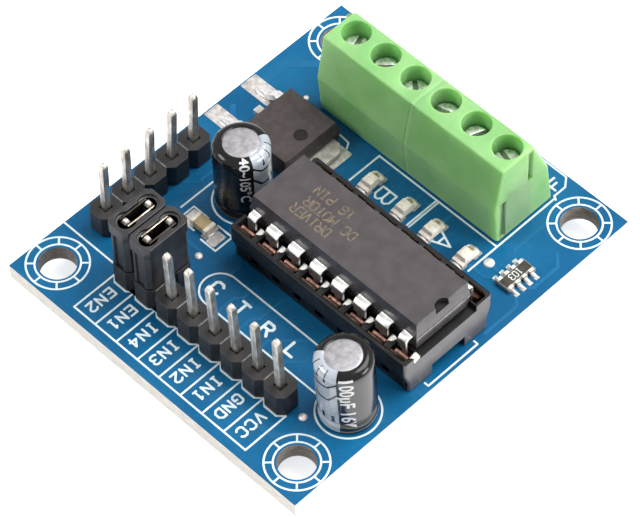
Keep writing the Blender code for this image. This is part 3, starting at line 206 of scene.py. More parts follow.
def made(name, shape, materials, slot, body="module", stands_for=()):
    """The finished mesh as a piece that rides a body, and may stand for CAD nodes."""
    mesh = bpy.data.meshes.new(name)
    shape.to_mesh(mesh)
    shape.free()
    for material in materials:
        mesh.materials.append(material)
    piece = placed(name, mesh)
    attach(piece, body)
    if stands_for:
        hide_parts(*stands_for)
    return piece


def smoothed(piece, angle=50.0):
    """Smooth shading that leaves edges past the angle sharp and flat faces flat."""
    piece.data.shade_smooth()
    piece.data.set_sharp_from_angle(angle=math.radians(angle))
    even = piece.modifiers.new("even_faces", "WEIGHTED_NORMAL")
    even.keep_sharp = True
    return piece


def rounded(shape, edges, reach, segments):
    """Rounds edges off by a reach."""
    bmesh.ops.bevel(shape, geom=edges, offset=reach, offset_type="OFFSET", affect="EDGES",
                    segments=segments, profile=0.5, material=-1, clamp_overlap=False)


def dressed(node, name, materials, width, choose=None, segments=2, angle=30.0, only=None, wide=None):
    """A node's solid with whole faces, rounded edges and its finishes, standing for the node."""
    shape = bmesh.new()
    shape.from_mesh(nodes[node].data)
    bmesh.ops.remove_doubles(shape, verts=shape.verts, dist=1e-6)
    bmesh.ops.dissolve_limit(shape, angle_limit=math.radians(0.5), verts=shape.verts, edges=shape.edges)
    bmesh.ops.recalc_face_normals(shape, faces=shape.faces)
    if wide:
        rounded(shape, [edge for edge in shape.edges if wide[0](edge)], wide[1], 5)
    for face in shape.faces:
        face.material_index = choose(face) if choose else 0
    sharp = [edge for edge in shape.edges
             if len(edge.link_faces) == 2 and edge.calc_face_angle() > math.radians(angle)]
    if only:
        sharp = [edge for edge in sharp if only(edge)]
    rounded(shape, sharp, width, segments)
    return smoothed(made(name, shape, materials, slots[node], nodes[node]["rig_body"], (node,)))


board_top = 0.0016
hole_x = 0.0142
hole_y = 0.0167
hole_reach = 0.0017
mask = finish("blue_solder_mask", (0.004, 0.099, 0.236), (0.008, 0.137, 0.302), 0.006, (0.2, 0.3), 0.0009,
              relief=0.000004, specular=0.16)
raised_mask = finish("solder_mask_on_copper", (0.008, 0.123, 0.272), (0.013, 0.157, 0.333), 0.005,
                     (0.2, 0.3), 0.0009, relief=0.000004, specular=0.2)
laminate = finish("bare_laminate", (0.74, 0.71, 0.64), (0.93, 0.9, 0.84), 0.0009, (0.55, 0.75),
                  relief=0.00002, stretch=(1.0, 1.0, 6.0))
drilled_wall = finish("drilled_laminate", (0.11, 0.092, 0.078), (0.24, 0.21, 0.185), 0.0006, (0.5, 0.7),
                      relief=0.00002, stretch=(1.0, 1.0, 4.0))


def board_side(face):
    """The mask lies on the two broad faces; the edges are bare, and the drilled walls are darker."""
    if abs(face.normal.z) > 0.9:
        return 0
    middle = face.calc_center_median()
    return 1 if max(abs(middle.x) - hole_x, abs(middle.y) - hole_y) > hole_reach else 2


dressed("circuit_board", "board_panel", [mask, laminate, drilled_wall], 0.00003, board_side,
        segments=1, angle=60.0)


def block(shape, centre, size, turn=0.0):
    """A block about its centre, turned round the upright; its corners are handed back."""
    place = Matrix.Translation(centre) @ Matrix.Rotation(turn, 4, "Z")
    return bmesh.ops.create_cube(shape, size=1.0, matrix=place @ Matrix.Diagonal((*size, 1.0)))["verts"]


def line_drawn(shape, points, width, level, thick):
    """A flat line with round joints, standing off a level by its thickness, which varies a little so
    that no two crossing lines lie in one plane."""
    spots = [Vector((x, y, 0.0)) for x, y in points]
    for start, end in zip(spots, spots[1:]):
        high = thick * (1.0 + (len(shape.verts) % 997) * 0.0003)
        run = end - start
        middle = (*((start + end) / 2).xy, level + high / 2)
        block(shape, middle, (run.length, width, abs(high)), math.atan2(run.y, run.x))
    for spot in spots:
        high = thick * (1.0 + (len(shape.verts) % 997) * 0.0003)
        place = Matrix.Translation((spot.x, spot.y, level + high / 2))
        bmesh.ops.create_cone(shape, cap_ends=True, segments=12, radius1=width / 2, radius2=width / 2,
                              depth=abs(high), matrix=place)


copper_height = 0.000016
light_xs = (-0.00127, 0.00269, 0.00595, 0.00983)
top_tracks = [
    (0.0005, [
        [(-0.01415, -0.00084), (-0.01415, 0.0036), (-0.0157, 0.0052)],
    ]),
    (0.0008, [
        [(-0.0157, 0.0083), (-0.0157, 0.0116), (-0.0129, 0.0144), (-0.0104, 0.0144)],
    ]),
    (0.0003, [
        [(-0.01415, -0.00338), (-0.0127, -0.00338), (-0.0119, -0.0026), (-0.0119, 0.0025)],
        [(-0.01415, -0.00592), (-0.0124, -0.00592), (-0.0108, -0.0075), (-0.0066, -0.0075)],
        [(-0.01415, -0.00846), (-0.0115, -0.00846), (-0.0103, -0.0097)],
        [(-0.01415, -0.011), (-0.0161, -0.011), (-0.0161, 0.0005), (-0.0152, 0.0014)],
        [(-0.00358, -0.0121), (-0.00358, -0.0085), (-0.00307, -0.008), (-0.00307, -0.0062)],
        [(-0.00104, -0.0121), (-0.00104, -0.0089), (-0.00053, -0.0084), (-0.00053, -0.0062)],
        [(0.0015, -0.0121), (0.0015, -0.0094), (0.00201, -0.0089), (0.00201, -0.0062)],
        [(0.00404, -0.0121), (0.00404, -0.01), (0.00709, -0.007), (0.00709, -0.0062)],
        [(0.00658, -0.0121), (0.00658, -0.0104), (0.00963, -0.0074), (0.00963, -0.0062)],
    ]),
    (0.0006, [
        [(0.0093, -0.0163), (0.0109, -0.0163), (0.0161, -0.0111), (0.0161, -0.009)],
    ]),
    (0.0003, [
        [(0.01161, 0.00842), (0.013, 0.0083)],
        [(0.0154, 0.00767), (0.0163, 0.0068), (0.0163, 0.003)],
        [(0.0154, 0.00847), (0.016, 0.0091), (0.016, 0.0121), (0.015, 0.0131)],
        [(0.013, 0.01007), (0.0122, 0.0109), (0.0122, 0.015)],
        [(0.013, 0.00767), (0.0124, 0.0071), (0.0098, 0.0071)],
    ] + [[(light_x, 0.0086), (light_x, 0.01)] for light_x in light_xs]),
]
tracks = bmesh.new()
for track_width, tracks_of_width in top_tracks:
    for track in tracks_of_width:
        line_drawn(tracks, track, track_width, board_top, copper_height)
pin_pitch = 0.00254
terminal_xs = [0.0003 + 0.0035 * (step - 2.5) for step in range(6)]
strip_row_y = 0.0117
socket_lead_xs = [-0.00307 + pin_pitch * step for step in range(8)]
control_xs = [-0.00866 + pin_pitch * step for step in range(8)]
control_row_y = -0.01345
enable_row_y = -0.01091
power_row_x = -0.01415
power_ys = [-0.011 + pin_pitch * step for step in range(5)]
capacitor_axes = ((-0.0078, -0.00115), (0.01362, -0.01025))
for terminal_x, lead_x in zip(terminal_xs, socket_lead_xs[1:7]):
    track = [(terminal_x, strip_row_y), (terminal_x, 0.0088), (lead_x, 0.006), (lead_x, 0.00281)]
    line_drawn(tracks, track, 0.0009, 0.0, -copper_height)
for number, (pin_x, lead_x) in enumerate(zip(control_xs[1:7], socket_lead_xs[:6])):
    bend = -0.01 - 0.0004 * number
    track = [(pin_x, control_row_y), (pin_x, bend), (lead_x, bend + 0.0022), (lead_x, -0.00481)]
    line_drawn(tracks, track, 0.0004, 0.0, -copper_height)
for power_y, reach in ((-0.00084, 0.0043), (-0.00338, 0.0018), (-0.00592, -0.001)):
    track = [(power_row_x, power_y), (-0.0118, power_y), (-0.0105, reach), (-0.0068, reach)]
    line_drawn(tracks, track, 0.0007, 0.0, -copper_height)
line_drawn(tracks, [(-0.011, -0.0175), (0.0099, -0.0175), (0.0161, -0.0113), (0.0161, 0.012)],
           0.0011, 0.0, -copper_height)
line_drawn(tracks, [(-0.016, -0.0125), (-0.016, 0.0125)], 0.0012, 0.0, -copper_height)
made("tracks", tracks, [raised_mask], "board")

# Solder and bare pads
# Every lead that passes through the board is soldered underneath in a small tent of tin, and the
# surface-mounted pieces sit on tinned pads with a fillet at each terminal.
solder_tin = finish("solder_tin", (0.55, 0.54, 0.53), (0.82, 0.81, 0.8), 0.0005, (0.16, 0.3), 0.00012,
                    relief=0.00001, metallic=1.0)
pad_tin = finish("pad_tin", (0.4, 0.375, 0.36), (0.68, 0.645, 0.62), 0.0005, (0.36, 0.5), 0.0002,
                 relief=0.00002, metallic=0.8)
dull_tin = finish("dull_tin", (0.6, 0.58, 0.57), (0.88, 0.85, 0.83), 0.0004, (0.34, 0.5), relief=0.00002,
                  metallic=0.5)
lead_solder = finish("lead_solder", (0.56, 0.54, 0.525), (0.84, 0.81, 0.79), 0.0003, (0.3, 0.45),
                     relief=0.000012, metallic=0.6)
joint_profile = [(0.00095, 0.0), (0.00094, -0.00003), (0.00082, -0.00006), (0.00066, -0.00016),
                 (0.00056, -0.00032), (0.0005, -0.00052), (0.00047, -0.00072), (0.00044, -0.00084),
                 (0.00036, -0.0009), (0.0002, -0.00092)]


def revolved(shape, profile, axis, steps, spread=1.0):
    """Sweeps a half profile, given as radius and height, once round an upright axis."""
    rim = [shape.verts.new((axis[0] + radius * spread, axis[1], height)) for radius, height in profile]
    edges = [shape.edges.new(pair) for pair in zip(rim, rim[1:])]
    bmesh.ops.spin(shape, geom=rim + edges, cent=(axis[0], axis[1], 0.0), axis=(0.0, 0.0, 1.0),
                   angle=math.tau, steps=steps, use_merge=True)


def sewn(shape):
    """Joins corners that meet, and turns every face outward."""
    bmesh.ops.remove_doubles(shape, verts=shape.verts, dist=1e-7)
    bmesh.ops.recalc_face_normals(shape, faces=shape.faces)


joints = bmesh.new()
joint_places = [(x, control_row_y) for x in control_xs]
joint_places += [(x, enable_row_y) for x in control_xs[:2]]
joint_places += [(power_row_x, y) for y in power_ys]
joint_places += [(x, -0.001 + side * 0.00381) for x in socket_lead_xs for side in (-1, 1)]
joint_places += [(axis[0] + side * 0.001, axis[1]) for axis in capacitor_axes for side in (-1, 1)]
for number, place in enumerate(joint_places):
    revolved(joints, joint_profile, place, 24, 0.96 + 0.04 * (number * 7 % 5) / 4)
for x in terminal_xs:
    revolved(joints, joint_profile, (x, strip_row_y), 28, 1.35)
sewn(joints)
smoothed(made("solder_under_the_board", joints, [solder_tin], "tinned_metal"), 60.0)


def flat_pad(shape, low, high, corner=0.00012, level=board_top, thick=0.00003):
    """A bare tinned pad with rounded corners, given by two opposite corners."""
    centre = ((low[0] + high[0]) / 2, (low[1] + high[1]) / 2, level + thick / 2)
    corners = block(shape, centre, (high[0] - low[0], high[1] - low[1], thick))
    uprights = {edge for vert in corners for edge in vert.link_edges
                if abs(edge.verts[0].co.z - edge.verts[1].co.z) > thick / 2}
    rounded(shape, list(uprights), corner, 3)


def bead(shape, centre, size):
    """A smooth bead of solder, flattened onto the board."""
    bmesh.ops.create_uvsphere(shape, u_segments=20, v_segments=12, radius=1.0,
                              matrix=Matrix.Translation(centre) @ Matrix.Diagonal((*size, 1.0)))


pads = bmesh.new()
for pad_corners in (((-0.01685, 0.00718), (-0.0136, 0.009)), ((-0.01685, 0.0028), (-0.0136, 0.00442)),
                    ((-0.007, -0.0065), (-0.006, -0.005)), ((-0.0101, -0.0064), (-0.0088, -0.0048)),
                    ((-0.0077, -0.0064), (-0.0071, -0.0048)), ((-0.0125, 0.0029), (-0.0046, 0.0086))):
    flat_pad(pads, *pad_corners)
for light_x in light_xs:
    flat_pad(pads, (light_x - 0.0007, 0.006), (light_x + 0.0007, 0.007))
    flat_pad(pads, (light_x - 0.0007, 0.0078), (light_x + 0.0007, 0.0088))
array_row_ys = [0.00887 + 0.0008 * (step - 1.5) for step in range(4)]
for row_y in array_row_ys:
    for pad_x in (0.01322, 0.0153):
        flat_pad(pads, (pad_x - 0.00036, row_y - 0.00023), (pad_x + 0.00036, row_y + 0.00023), 0.00005)
made("bare_pads", pads, [pad_tin], "tinned_metal")

lead_fillets = bmesh.new()
for lead_y in (0.00351, 0.00809):
    bead(lead_fillets, (-0.0148, lead_y, board_top + 0.00003), (0.00105, 0.00056, 0.00028))
smoothed(made("regulator_lead_fillets", lead_fillets, [lead_solder], "tinned_metal"), 60.0)
fillets = bmesh.new()
bead(fillets, (-0.00925, -0.00565, board_top + 0.00005), (0.0003, 0.00055, 0.0003))
bead(fillets, (-0.0071, -0.00565, board_top + 0.00003), (0.00022, 0.00052, 0.00016))
for light_x in light_xs:
    bead(fillets, (light_x, 0.00628, board_top + 0.00005), (0.00058, 0.00026, 0.0003))
    bead(fillets, (light_x, 0.00852, board_top + 0.00005), (0.00052, 0.0003, 0.00026))
for row_y in array_row_ys:
    bead(fillets, (0.0133, row_y, board_top + 0.00006), (0.0003, 0.0002, 0.00022))
    bead(fillets, (0.01515, row_y, board_top + 0.00006), (0.0003, 0.00021, 0.00024))
for spot_x, spot_y, spot_r in ((-0.00629, -0.00797, 0.00038), (0.01145, -0.01327, 0.0004),
                               (0.01161, 0.00842, 0.0005), (-0.0118, 0.0102, 0.00026)):
    bead(fillets, (spot_x, spot_y, board_top), (spot_r, spot_r, spot_r * 0.5))
smoothed(made("solder_fillets", fillets, [dull_tin], "tinned_metal"), 60.0)

# Pin headers
# Eight-sided mouldings in a row, of black nylon, pushed down over square tinned pins whose tails
# pass through the board.
header_nylon = finish("header_nylon", (0.008, 0.0075, 0.008), (0.018, 0.0165, 0.0175), 0.0015, (0.36, 0.52),
                      0.00012, relief=0.000008, specular=0.42)
pin_tin = finish("pin_tin", (0.38, 0.35, 0.31), (0.74, 0.7, 0.65), 0.0004, (0.34, 0.5), 0.00012,
                 relief=0.000006, metallic=1.0, stretch=(1.0, 1.0, 0.35))
for header in ("control", "jumper", "power"):
    dressed(f"{header}_header_base", f"{header}_header_moulding", [header_nylon], 0.00004)
# A pale line crosses each neck, where the row can be snapped. It is a painted highlight, standing in for
# the light that the snap groove catches.
neck_painted_highlight = finish("neck_painted_highlight", (0.09, 0.085, 0.08), (0.2, 0.19, 0.18), 0.0004, (0.4, 0.6),
                      relief=0.00001)
neck_highlights = bmesh.new()
header_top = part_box("control_header_base")[1].z
necks = [((left + right) / 2, control_row_y, 0) for left, right in zip(control_xs, control_xs[1:])]
necks += [((control_xs[0] + control_xs[1]) / 2, enable_row_y, 0)]
necks += [(power_row_x, (near + far) / 2, 1) for near, far in zip(power_ys, power_ys[1:])]
for x, y, along_y in necks:
    half_x, half_y = (0.0006, 0.0) if along_y else (0.0, 0.0006)
    line_drawn(neck_highlights, [(x - half_x, y - half_y), (x + half_x, y + half_y)], 0.00013, header_top, 0.00002)
made("header_neck_painted_highlights", neck_highlights, [neck_painted_highlight], "black_nylon")
for header, count in (("control", 8), ("jumper", 2), ("power", 5)):
    for number in range(1, count + 1):
        pin = f"{header}_pin_{number}"
        dressed(pin, f"{pin}_tinned", [pin_tin], 0.00007, angle=20.0)

# Jumper caps
# Black nylon shells over two pins each, with the edges of a folded spring contact showing in the
# open top.
cap_nylon = finish("cap_nylon", (0.012, 0.011, 0.012), (0.028, 0.026, 0.027), 0.0012, (0.3, 0.48), 0.00015,
                   relief=0.00001, specular=0.55)
spring_bronze = finish("spring_bronze", (0.48, 0.4, 0.3), (0.8, 0.74, 0.62), 0.0008, (0.18, 0.34),
                       metallic=1.0)
# A near-black copy of the spring bronze: painted shade on the parts of the spring inside the cap.
spring_painted_shade = finish("spring_bronze_painted_shade", (0.05, 0.04, 0.035), (0.1, 0.085, 0.07), 0.0008, (0.4, 0.55),
                      metallic=1.0)


def spring_part(face):
    """Only the sheared top edge of one leaf keeps the bright bronze; the other leaf and the faces take a
    painted shade.
    """
    return 0 if face.normal.z > 0.8 and (face.calc_center_median().x - spring_x) * spring_side > 0.0 else 1


for number in (1, 2):
    dressed(f"jumper_cap_{number}", f"jumper_cap_{number}_shell", [cap_nylon], 0.00006)
    spring_low, spring_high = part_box(f"jumper_clip_{number}")
    spring_x = (spring_low.x + spring_high.x) / 2
    spring_side = 1.0 if number == 1 else -1.0
    dressed(f"jumper_clip_{number}", f"jumper_clip_{number}_spring", [spring_bronze, spring_painted_shade], 0.00003,
            spring_part)

# Chip socket
# An open frame of black nylon with a sprung bronze contact in each of its sixteen pockets; the
# contacts end in tails that pass through the board.
socket_centre = (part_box("ic_socket")[0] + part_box("ic_socket")[1]) / 2
pocket_floor = board_top + 0.0009
contact_near = 0.00364
tail_far = 0.00398
leaf_near = 0.00454
contact_far = 0.00484
contact_width = 0.00175
frame_end = 0.0097
socket_nylon = finish("socket_nylon", (0.006, 0.0055, 0.006), (0.014, 0.013, 0.014), 0.0018, (0.34, 0.5),
                      0.00014, relief=0.000008, specular=0.28)
# A paler, glossier copy of the socket nylon for the frame's end faces: painted light.
socket_end_nylon_painted_light = finish("socket_end_nylon_painted_light", (0.062, 0.054, 0.056), (0.095, 0.084, 0.087), 0.0018,
                          (0.33, 0.36), 0.001, specular=0.8)
# Near-black bronze for the leaves in the pockets: painted shade.
leaf_bronze_painted_shade = finish("leaf_bronze_painted_shade", (0.03, 0.02, 0.015), (0.07, 0.045, 0.035), 0.0006, (0.4, 0.55),
                     metallic=1.0)
contact_bronze = finish("contact_bronze", (0.07, 0.03, 0.022), (0.26, 0.13, 0.1), 0.0004, (0.25, 0.4),
                        metallic=0.7)


def socket_part(face):
    """The leaves stand against the pockets' outer walls, and the tails hang under the pocket floors."""
    out = [abs(vert.co.y - socket_centre.y) for vert in face.verts]
    height = [vert.co.z for vert in face.verts]
    leaf = min(out) > leaf_near and max(out) < contact_far and min(height) > pocket_floor - 0.00013
    foot = (min(out) > contact_near and max(out) < contact_far and max(height) < pocket_floor + 0.00014
            and min(height) > pocket_floor - 0.00014 and face.normal.z > 0.5 and face.calc_area() > 5e-7)
    tail = min(out) > contact_near and max(out) < tail_far and max(height) < pocket_floor + 0.0001
    narrow = max(vert.co.x for vert in face.verts) - min(vert.co.x for vert in face.verts) < contact_width
    if max(height) < 0.0001 or (tail and narrow):
        return 3
    # Leaves and their feet take the near-black bronze, a painted shade.
    if (leaf or foot) and narrow:
        return 1
    # The frame's end faces take the paler nylon, a painted light.
    reach = max(abs(vert.co.x - socket_centre.x) for vert in face.verts)
    return 2 if reach > frame_end and abs(face.normal.x) > 0.3 else 0


def socket_corner(edge):
    """The four upright outer corners of the frame."""
    reach_x = min(abs(vert.co.x - socket_centre.x) for vert in edge.verts)
    reach_y = min(abs(vert.co.y - socket_centre.y) for vert in edge.verts)
    rise = abs(edge.verts[0].co.z - edge.verts[1].co.z)
    return reach_x > frame_end - 0.00005 and reach_y > 0.0046 and rise > 0.0003


dressed("ic_socket", "socket_frame", [socket_nylon, leaf_bronze_painted_shade, socket_end_nylon_painted_light, pin_tin], 0.00005,
        socket_part, wide=(socket_corner, 0.0003))
# Near-white tin for the curled tongues: a painted highlight.
contact_tin_painted_highlight = finish("contact_tin_painted_highlight", (0.86, 0.84, 0.78), (1.0, 0.98, 0.93), 0.0005, (0.15, 0.28),
                     relief=0.000003, metallic=0.5)


def bent_strip(shape, spots, run, thick):
    """A strip of sheet metal bent through the spots and as wide as the run."""
    ring = [shape.verts.new(spot) for spot in spots]
    edges = [shape.edges.new(pair) for pair in zip(ring, ring[1:])]
    grown = bmesh.ops.extrude_edge_only(shape, edges=edges)["geom"]
    bmesh.ops.translate(shape, vec=run, verts=[item for item in grown if isinstance(item, BMVert)])
    bmesh.ops.solidify(shape, geom=[item for item in grown if isinstance(item, BMFace)],
                       thickness=thick)


# In each pocket a back leaf stands behind the lead, and a front leaf leans in towards it.
# Beside the lead a tinned tongue curls over and catches the light, and its near-white tin adds a painted
# highlight.
leaf_bend = [(0.00464, 0.0001), (0.00462, 0.0021), (0.00456, 0.0025), (0.00442, 0.0028), (0.0042, 0.00298),
             (0.00404, 0.00304), (0.00399, 0.0029), (0.00401, 0.0026)]
curl_radius = 0.00034
tongue_bend = [(0.00074, 0.0018), (0.00074, 0.003)]
for turn in range(180, 9, -17):
    angle = math.radians(turn)
    tongue_bend.append((0.00108 + curl_radius * math.cos(angle), 0.00318 + curl_radius * math.sin(angle)))
contacts = bmesh.new()
tongues = bmesh.new()
for side in (-1, 1):
    for step in range(8):
        lead_x = socket_centre.x + pin_pitch * (step - 3.5)
        back_y = socket_centre.y + side * 0.0035
        back = [(lead_x - 0.0008, back_y, pocket_floor + up) for up in (0.0001, 0.0027)]
        bent_strip(contacts, back, (0.0016, 0.0, 0.0), 0.0001)
        front = [(lead_x - 0.0007, socket_centre.y + side * out, pocket_floor + up)
                 for out, up in leaf_bend]
        bent_strip(contacts, front, (0.0014, 0.0, 0.0), 0.0001)
        tongue = [(lead_x - side * across, back_y, pocket_floor + up) for across, up in tongue_bend]
        bent_strip(tongues, tongue, (0.0, side * 0.0006, -0.00024), 0.00014)
for strips, name, metal in ((contacts, "socket_contacts", contact_bronze),
                            (tongues, "socket_contact_tongues", contact_tin_painted_highlight)):
    bmesh.ops.recalc_face_normals(strips, faces=strips.faces)
    smoothed(made(name, strips, [metal], "black_nylon"))

# Driver chip
# A moulded epoxy body, matt on top, with sixteen tinned leads that leave it at the parting line
# and bend down into the socket.
chip_half_width = 0.003178
notch_length = 0.0022
notch_depth = 0.0007
notch_half_width = 0.0008
chip_epoxy = finish("chip_epoxy", (0.05, 0.042, 0.044), (0.068, 0.058, 0.06), 0.0012, (0.42, 0.55), 0.00008,
                    relief=0.000006, specular=0.35)
lead_tin = finish("lead_tin", (0.74, 0.73, 0.71), (0.95, 0.94, 0.92), 0.0006, (0.28, 0.42), relief=0.000003,
                  metallic=1.0)
# A near-black copy of the epoxy for the orientation notch: painted shade in the recess.
notch_painted_shade = finish("chip_notch_painted_shade", (0.006, 0.005, 0.005), (0.012, 0.01, 0.01), 0.0012, (0.5, 0.6),
                     specular=0.15)
polished_epoxy = finish("chip_epoxy_side", (0.044, 0.039, 0.042), (0.062, 0.056, 0.06), 0.0012,
                        (0.18, 0.28), relief=0.000003, specular=0.55)


def chip_part(face):
    """The leads are all that lies outside the moulded body's sides, which are smoother than its top."""
    reach = max(abs(vert.co.y - socket_centre.y) for vert in face.verts)
    if reach > chip_half_width:
        return 1
    middle = face.calc_center_median()
    along = chip_high.x - notch_length < middle.x < chip_high.x - 0.00012
    sunk = chip_high.z - notch_depth < middle.z < chip_high.z - 0.00005
    # The notch's floor and walls take the painted shade.
    if along and sunk and reach < notch_half_width:
        return 3
    return 2 if abs(face.normal.z) < 0.5 else 0


chip_low, chip_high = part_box("driver_ic")
dressed("driver_ic", "driver_chip", [chip_epoxy, lead_tin, polished_epoxy, notch_painted_shade], 0.00006, chip_part)
# A thin flash of epoxy runs along the parting line at each end, painted pale as a highlight.
flash_painted_highlight = finish("flash_painted_highlight", (0.24, 0.22, 0.23), (0.44, 0.41, 0.42), 0.0006, (0.25, 0.4))
parting = max(vert.co.z for vert in nodes["driver_ic"].data.vertices if vert.co.x > chip_high.x - 0.000002)
flash = bmesh.new()
for end_x in (chip_low.x, chip_high.x):
    block(flash, (end_x, socket_centre.y, parting), (0.00009, 0.0062, 0.00005))
made("driver_chip_flash_painted_highlight", flash, [flash_painted_highlight], "chip_epoxy")

# Screw terminals
# Two green nylon housings keyed end to end. Each way holds a slotted steel screw, the cage that
# the screw lifts, and the strip that the cage presses the wire against.
terminal_nylon = finish("terminal_nylon", (0.215, 0.475, 0.16), (0.29, 0.545, 0.22), 0.003, (0.36, 0.5),
                        0.0002, relief=0.00001, coat=0.05)
preset(terminal_nylon.node_tree.nodes["Principled BSDF"], {
    "Subsurface Weight": 0.7, "Subsurface Radius": (0.75, 1.0, 0.25), "Subsurface Scale": 0.0018})
screw_steel = finish("screw_steel", (0.42, 0.46, 0.4), (0.8, 0.84, 0.77), 0.0004, (0.22, 0.4),
                     relief=0.000012, metallic=0.8)
housing_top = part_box("terminal_housing_1")[1].z
screw_y = 0.0131
screw_neck = board_top + 0.0059
screw_rise = 0.0006
well_radius = 0.0013
key_end = -0.00002


def housing_edge(edge):
    """The rims of the screw wells, and the long folds in the front and the back."""
    middle = (edge.verts[0].co + edge.verts[1].co) / 2
    if edge.calc_length() > 0.004:
        return edge.calc_face_angle() < math.radians(30.0)
    reach = min(math.hypot(middle.x - x, middle.y - screw_y) for x in terminal_xs)
    return middle.z > housing_top - 0.00001 and reach < well_radius + 0.00001


for number in (1, 2):
    housing = f"terminal_housing_{number}"
    moulding = dressed(housing, f"{housing}_moulding", [terminal_nylon], 0.00009, angle=4.0,
                       only=housing_edge)
# The keys of the second housing end just short of the first one's last cage.
for vert in moulding.data.vertices:
    vert.co.x = max(vert.co.x, key_end)
# A slab of the same nylon closes the keyed joint between the housings almost flush.
seam = bmesh.new()
seam_outline = [(0.00003, 0.0002), (0.00675, 0.0002), (0.00617, 0.0048), (0.00431, 0.00915),
                (0.00059, 0.00915), (-0.00031, 0.0045)]
seam_ring = [seam.verts.new((0.00012, 0.0103 + y, board_top + z)) for y, z in seam_outline]
seam_side = bmesh.ops.extrude_face_region(seam, geom=[seam.faces.new(seam_ring)])["geom"]
bmesh.ops.translate(seam, vec=(0.00036, 0.0, 0.0),
                    verts=[item for item in seam_side if isinstance(item, BMVert)])
bmesh.ops.recalc_face_normals(seam, faces=seam.faces)
joint_nylon = finish("joint_nylon", (0.235, 0.54, 0.185), (0.3, 0.61, 0.24), 0.003, (0.36, 0.5), 0.0002)
made("terminal_joint", seam, [joint_nylon], "terminal_nylon")
for number in range(1, 7):
    screw = f"terminal_screw_{number}"
    for vert in dressed(screw, f"{screw}_plated", [screw_steel], 0.00005).data.vertices:
        if vert.co.z > screw_neck:
            vert.co.z += screw_rise
    for plated, metal in ((f"wire_cage_{number}", screw_steel), (f"solder_strip_{number}", pin_tin)):
        nodes[plated].data.materials.clear()
        nodes[plated].data.materials.append(metal)

# Electrolytic capacitors
# A drawn aluminium can in a shrunk sleeve that laps over its top edge and leaves the disc bare,
# crimped round a rubber bung. A pale stripe on the sleeve marks the negative side.
sleeve_black = finish("sleeve_black", (0.005, 0.005, 0.006), (0.01, 0.01, 0.012), 0.002, (0.12, 0.19),
                      0.0004, relief=0.000003, specular=0.85)
# A darker, duller copy of the sleeve for the first capacitor: painted shade.
sleeve_painted_shade = finish("sleeve_black_painted_shade", (0.004, 0.004, 0.005), (0.008, 0.008, 0.009), 0.002,
                       (0.2, 0.3), 0.0004, relief=0.000003, specular=0.36)
# A near-black, duller copy of the sleeve for the lap over the top edge: painted shade.
sleeve_lap_painted_shade = finish("sleeve_black_top_painted_shade", (0.002, 0.002, 0.002), (0.004, 0.004, 0.004), 0.002, (0.12, 0.2),
                    0.0004, relief=0.000003, specular=0.3)
stripe_grey = finish("stripe_grey", (0.35, 0.39, 0.45), (0.44, 0.48, 0.54), 0.0015, (0.14, 0.24), 0.0004,
                     coat=0.6)
print_white = finish("print_white", (0.62, 0.62, 0.64), (0.78, 0.78, 0.8), 0.0008, (0.2, 0.3), 0.0002,
                     coat=0.5)
can_aluminium = finish("can_aluminium", (0.3, 0.29, 0.305), (0.44, 0.425, 0.445), 0.0005, (0.34, 0.46),
                       0.00006, relief=0.000008, metallic=1.0)
bung_rubber = finish("bung_rubber", (0.015, 0.015, 0.015), (0.03, 0.03, 0.03), 0.001, (0.7, 0.85))
can_radius = 0.0025
disc_radius = 0.00158
lap_edge = 0.00745
stripe_half = 46.0
lap_run = [(0.00156, 0.00776), (0.001575, 0.00782), (0.00162, 0.00786), (0.00172, 0.007885),
           (0.0018, 0.00789), (0.0019, 0.007875), (0.002, 0.00784), (0.0021, 0.007795), (0.0022, 0.007735),
           (0.0023, 0.007655), (0.00239, 0.00755), (0.002455, 0.00742), (0.00249, 0.00728),
           (0.0025, 0.00712)]
wall_run = [(can_radius, 0.00712 - 0.0006 * step) for step in range(1, 10)]
waist_run = [(0.00249, 0.00172), (0.00244, 0.00158), (0.00235, 0.00146), (0.0023, 0.00136),
             (0.0023, 0.00124), (0.00235, 0.00114), (0.00244, 0.00102), (0.00249, 0.00088),
             (0.0025, 0.0007), (0.0025, 0.00036), (0.00247, 0.0002), (0.00238, 0.00012), (0.00222, 0.0001),
             (0.00205, 0.00011)]
sleeve_run = lap_run + wall_run + waist_run
disc_profile = [(disc_radius, 0.00779), (0.0015, 0.00781), (0.0011, 0.00783), (0.0006, 0.00784),
                (0.0, 0.00784)]


def on_sleeve(turn, run, lift):
    """A spot on the sleeve, from its angle in degrees and the distance run out and down from the disc."""
    rest = run
    for start, end in zip(sleeve_run, sleeve_run[1:]):
        step = math.dist(start, end)
        if rest <= step:
            break
        rest -= step
    share = rest / step
    along = ((end[0] - start[0]) / step, (end[1] - start[1]) / step)
    radius = start[0] + share * (end[0] - start[0]) - along[1] * lift
    height = start[1] + share * (end[1] - start[1]) + along[0] * lift
    angle = math.radians(turn)
    return Vector((radius * math.cos(angle), radius * math.sin(angle), height))


def wrapped_line(shape, points, width, lift=0.000008):
    """A printed line over the sleeve through spots given as angle and run, in one even width."""
    for (turn_0, run_0), (turn_1, run_1) in zip(points, points[1:]):
        across = math.radians(turn_1 - turn_0) * can_radius
        down = run_1 - run_0
        length = math.hypot(across, down)
        count = max(1, int(length / 0.00012))
        for vert in bmesh.ops.create_grid(shape, x_segments=count, y_segments=1, size=0.5)["verts"]:
            share = vert.co.x + 0.5
            off = vert.co.y * width
            turn = turn_0 + share * (turn_1 - turn_0) + math.degrees(off * down / length / can_radius)
            vert.co = on_sleeve(turn, max(0.0, run_0 + share * down - off * across / length), lift)


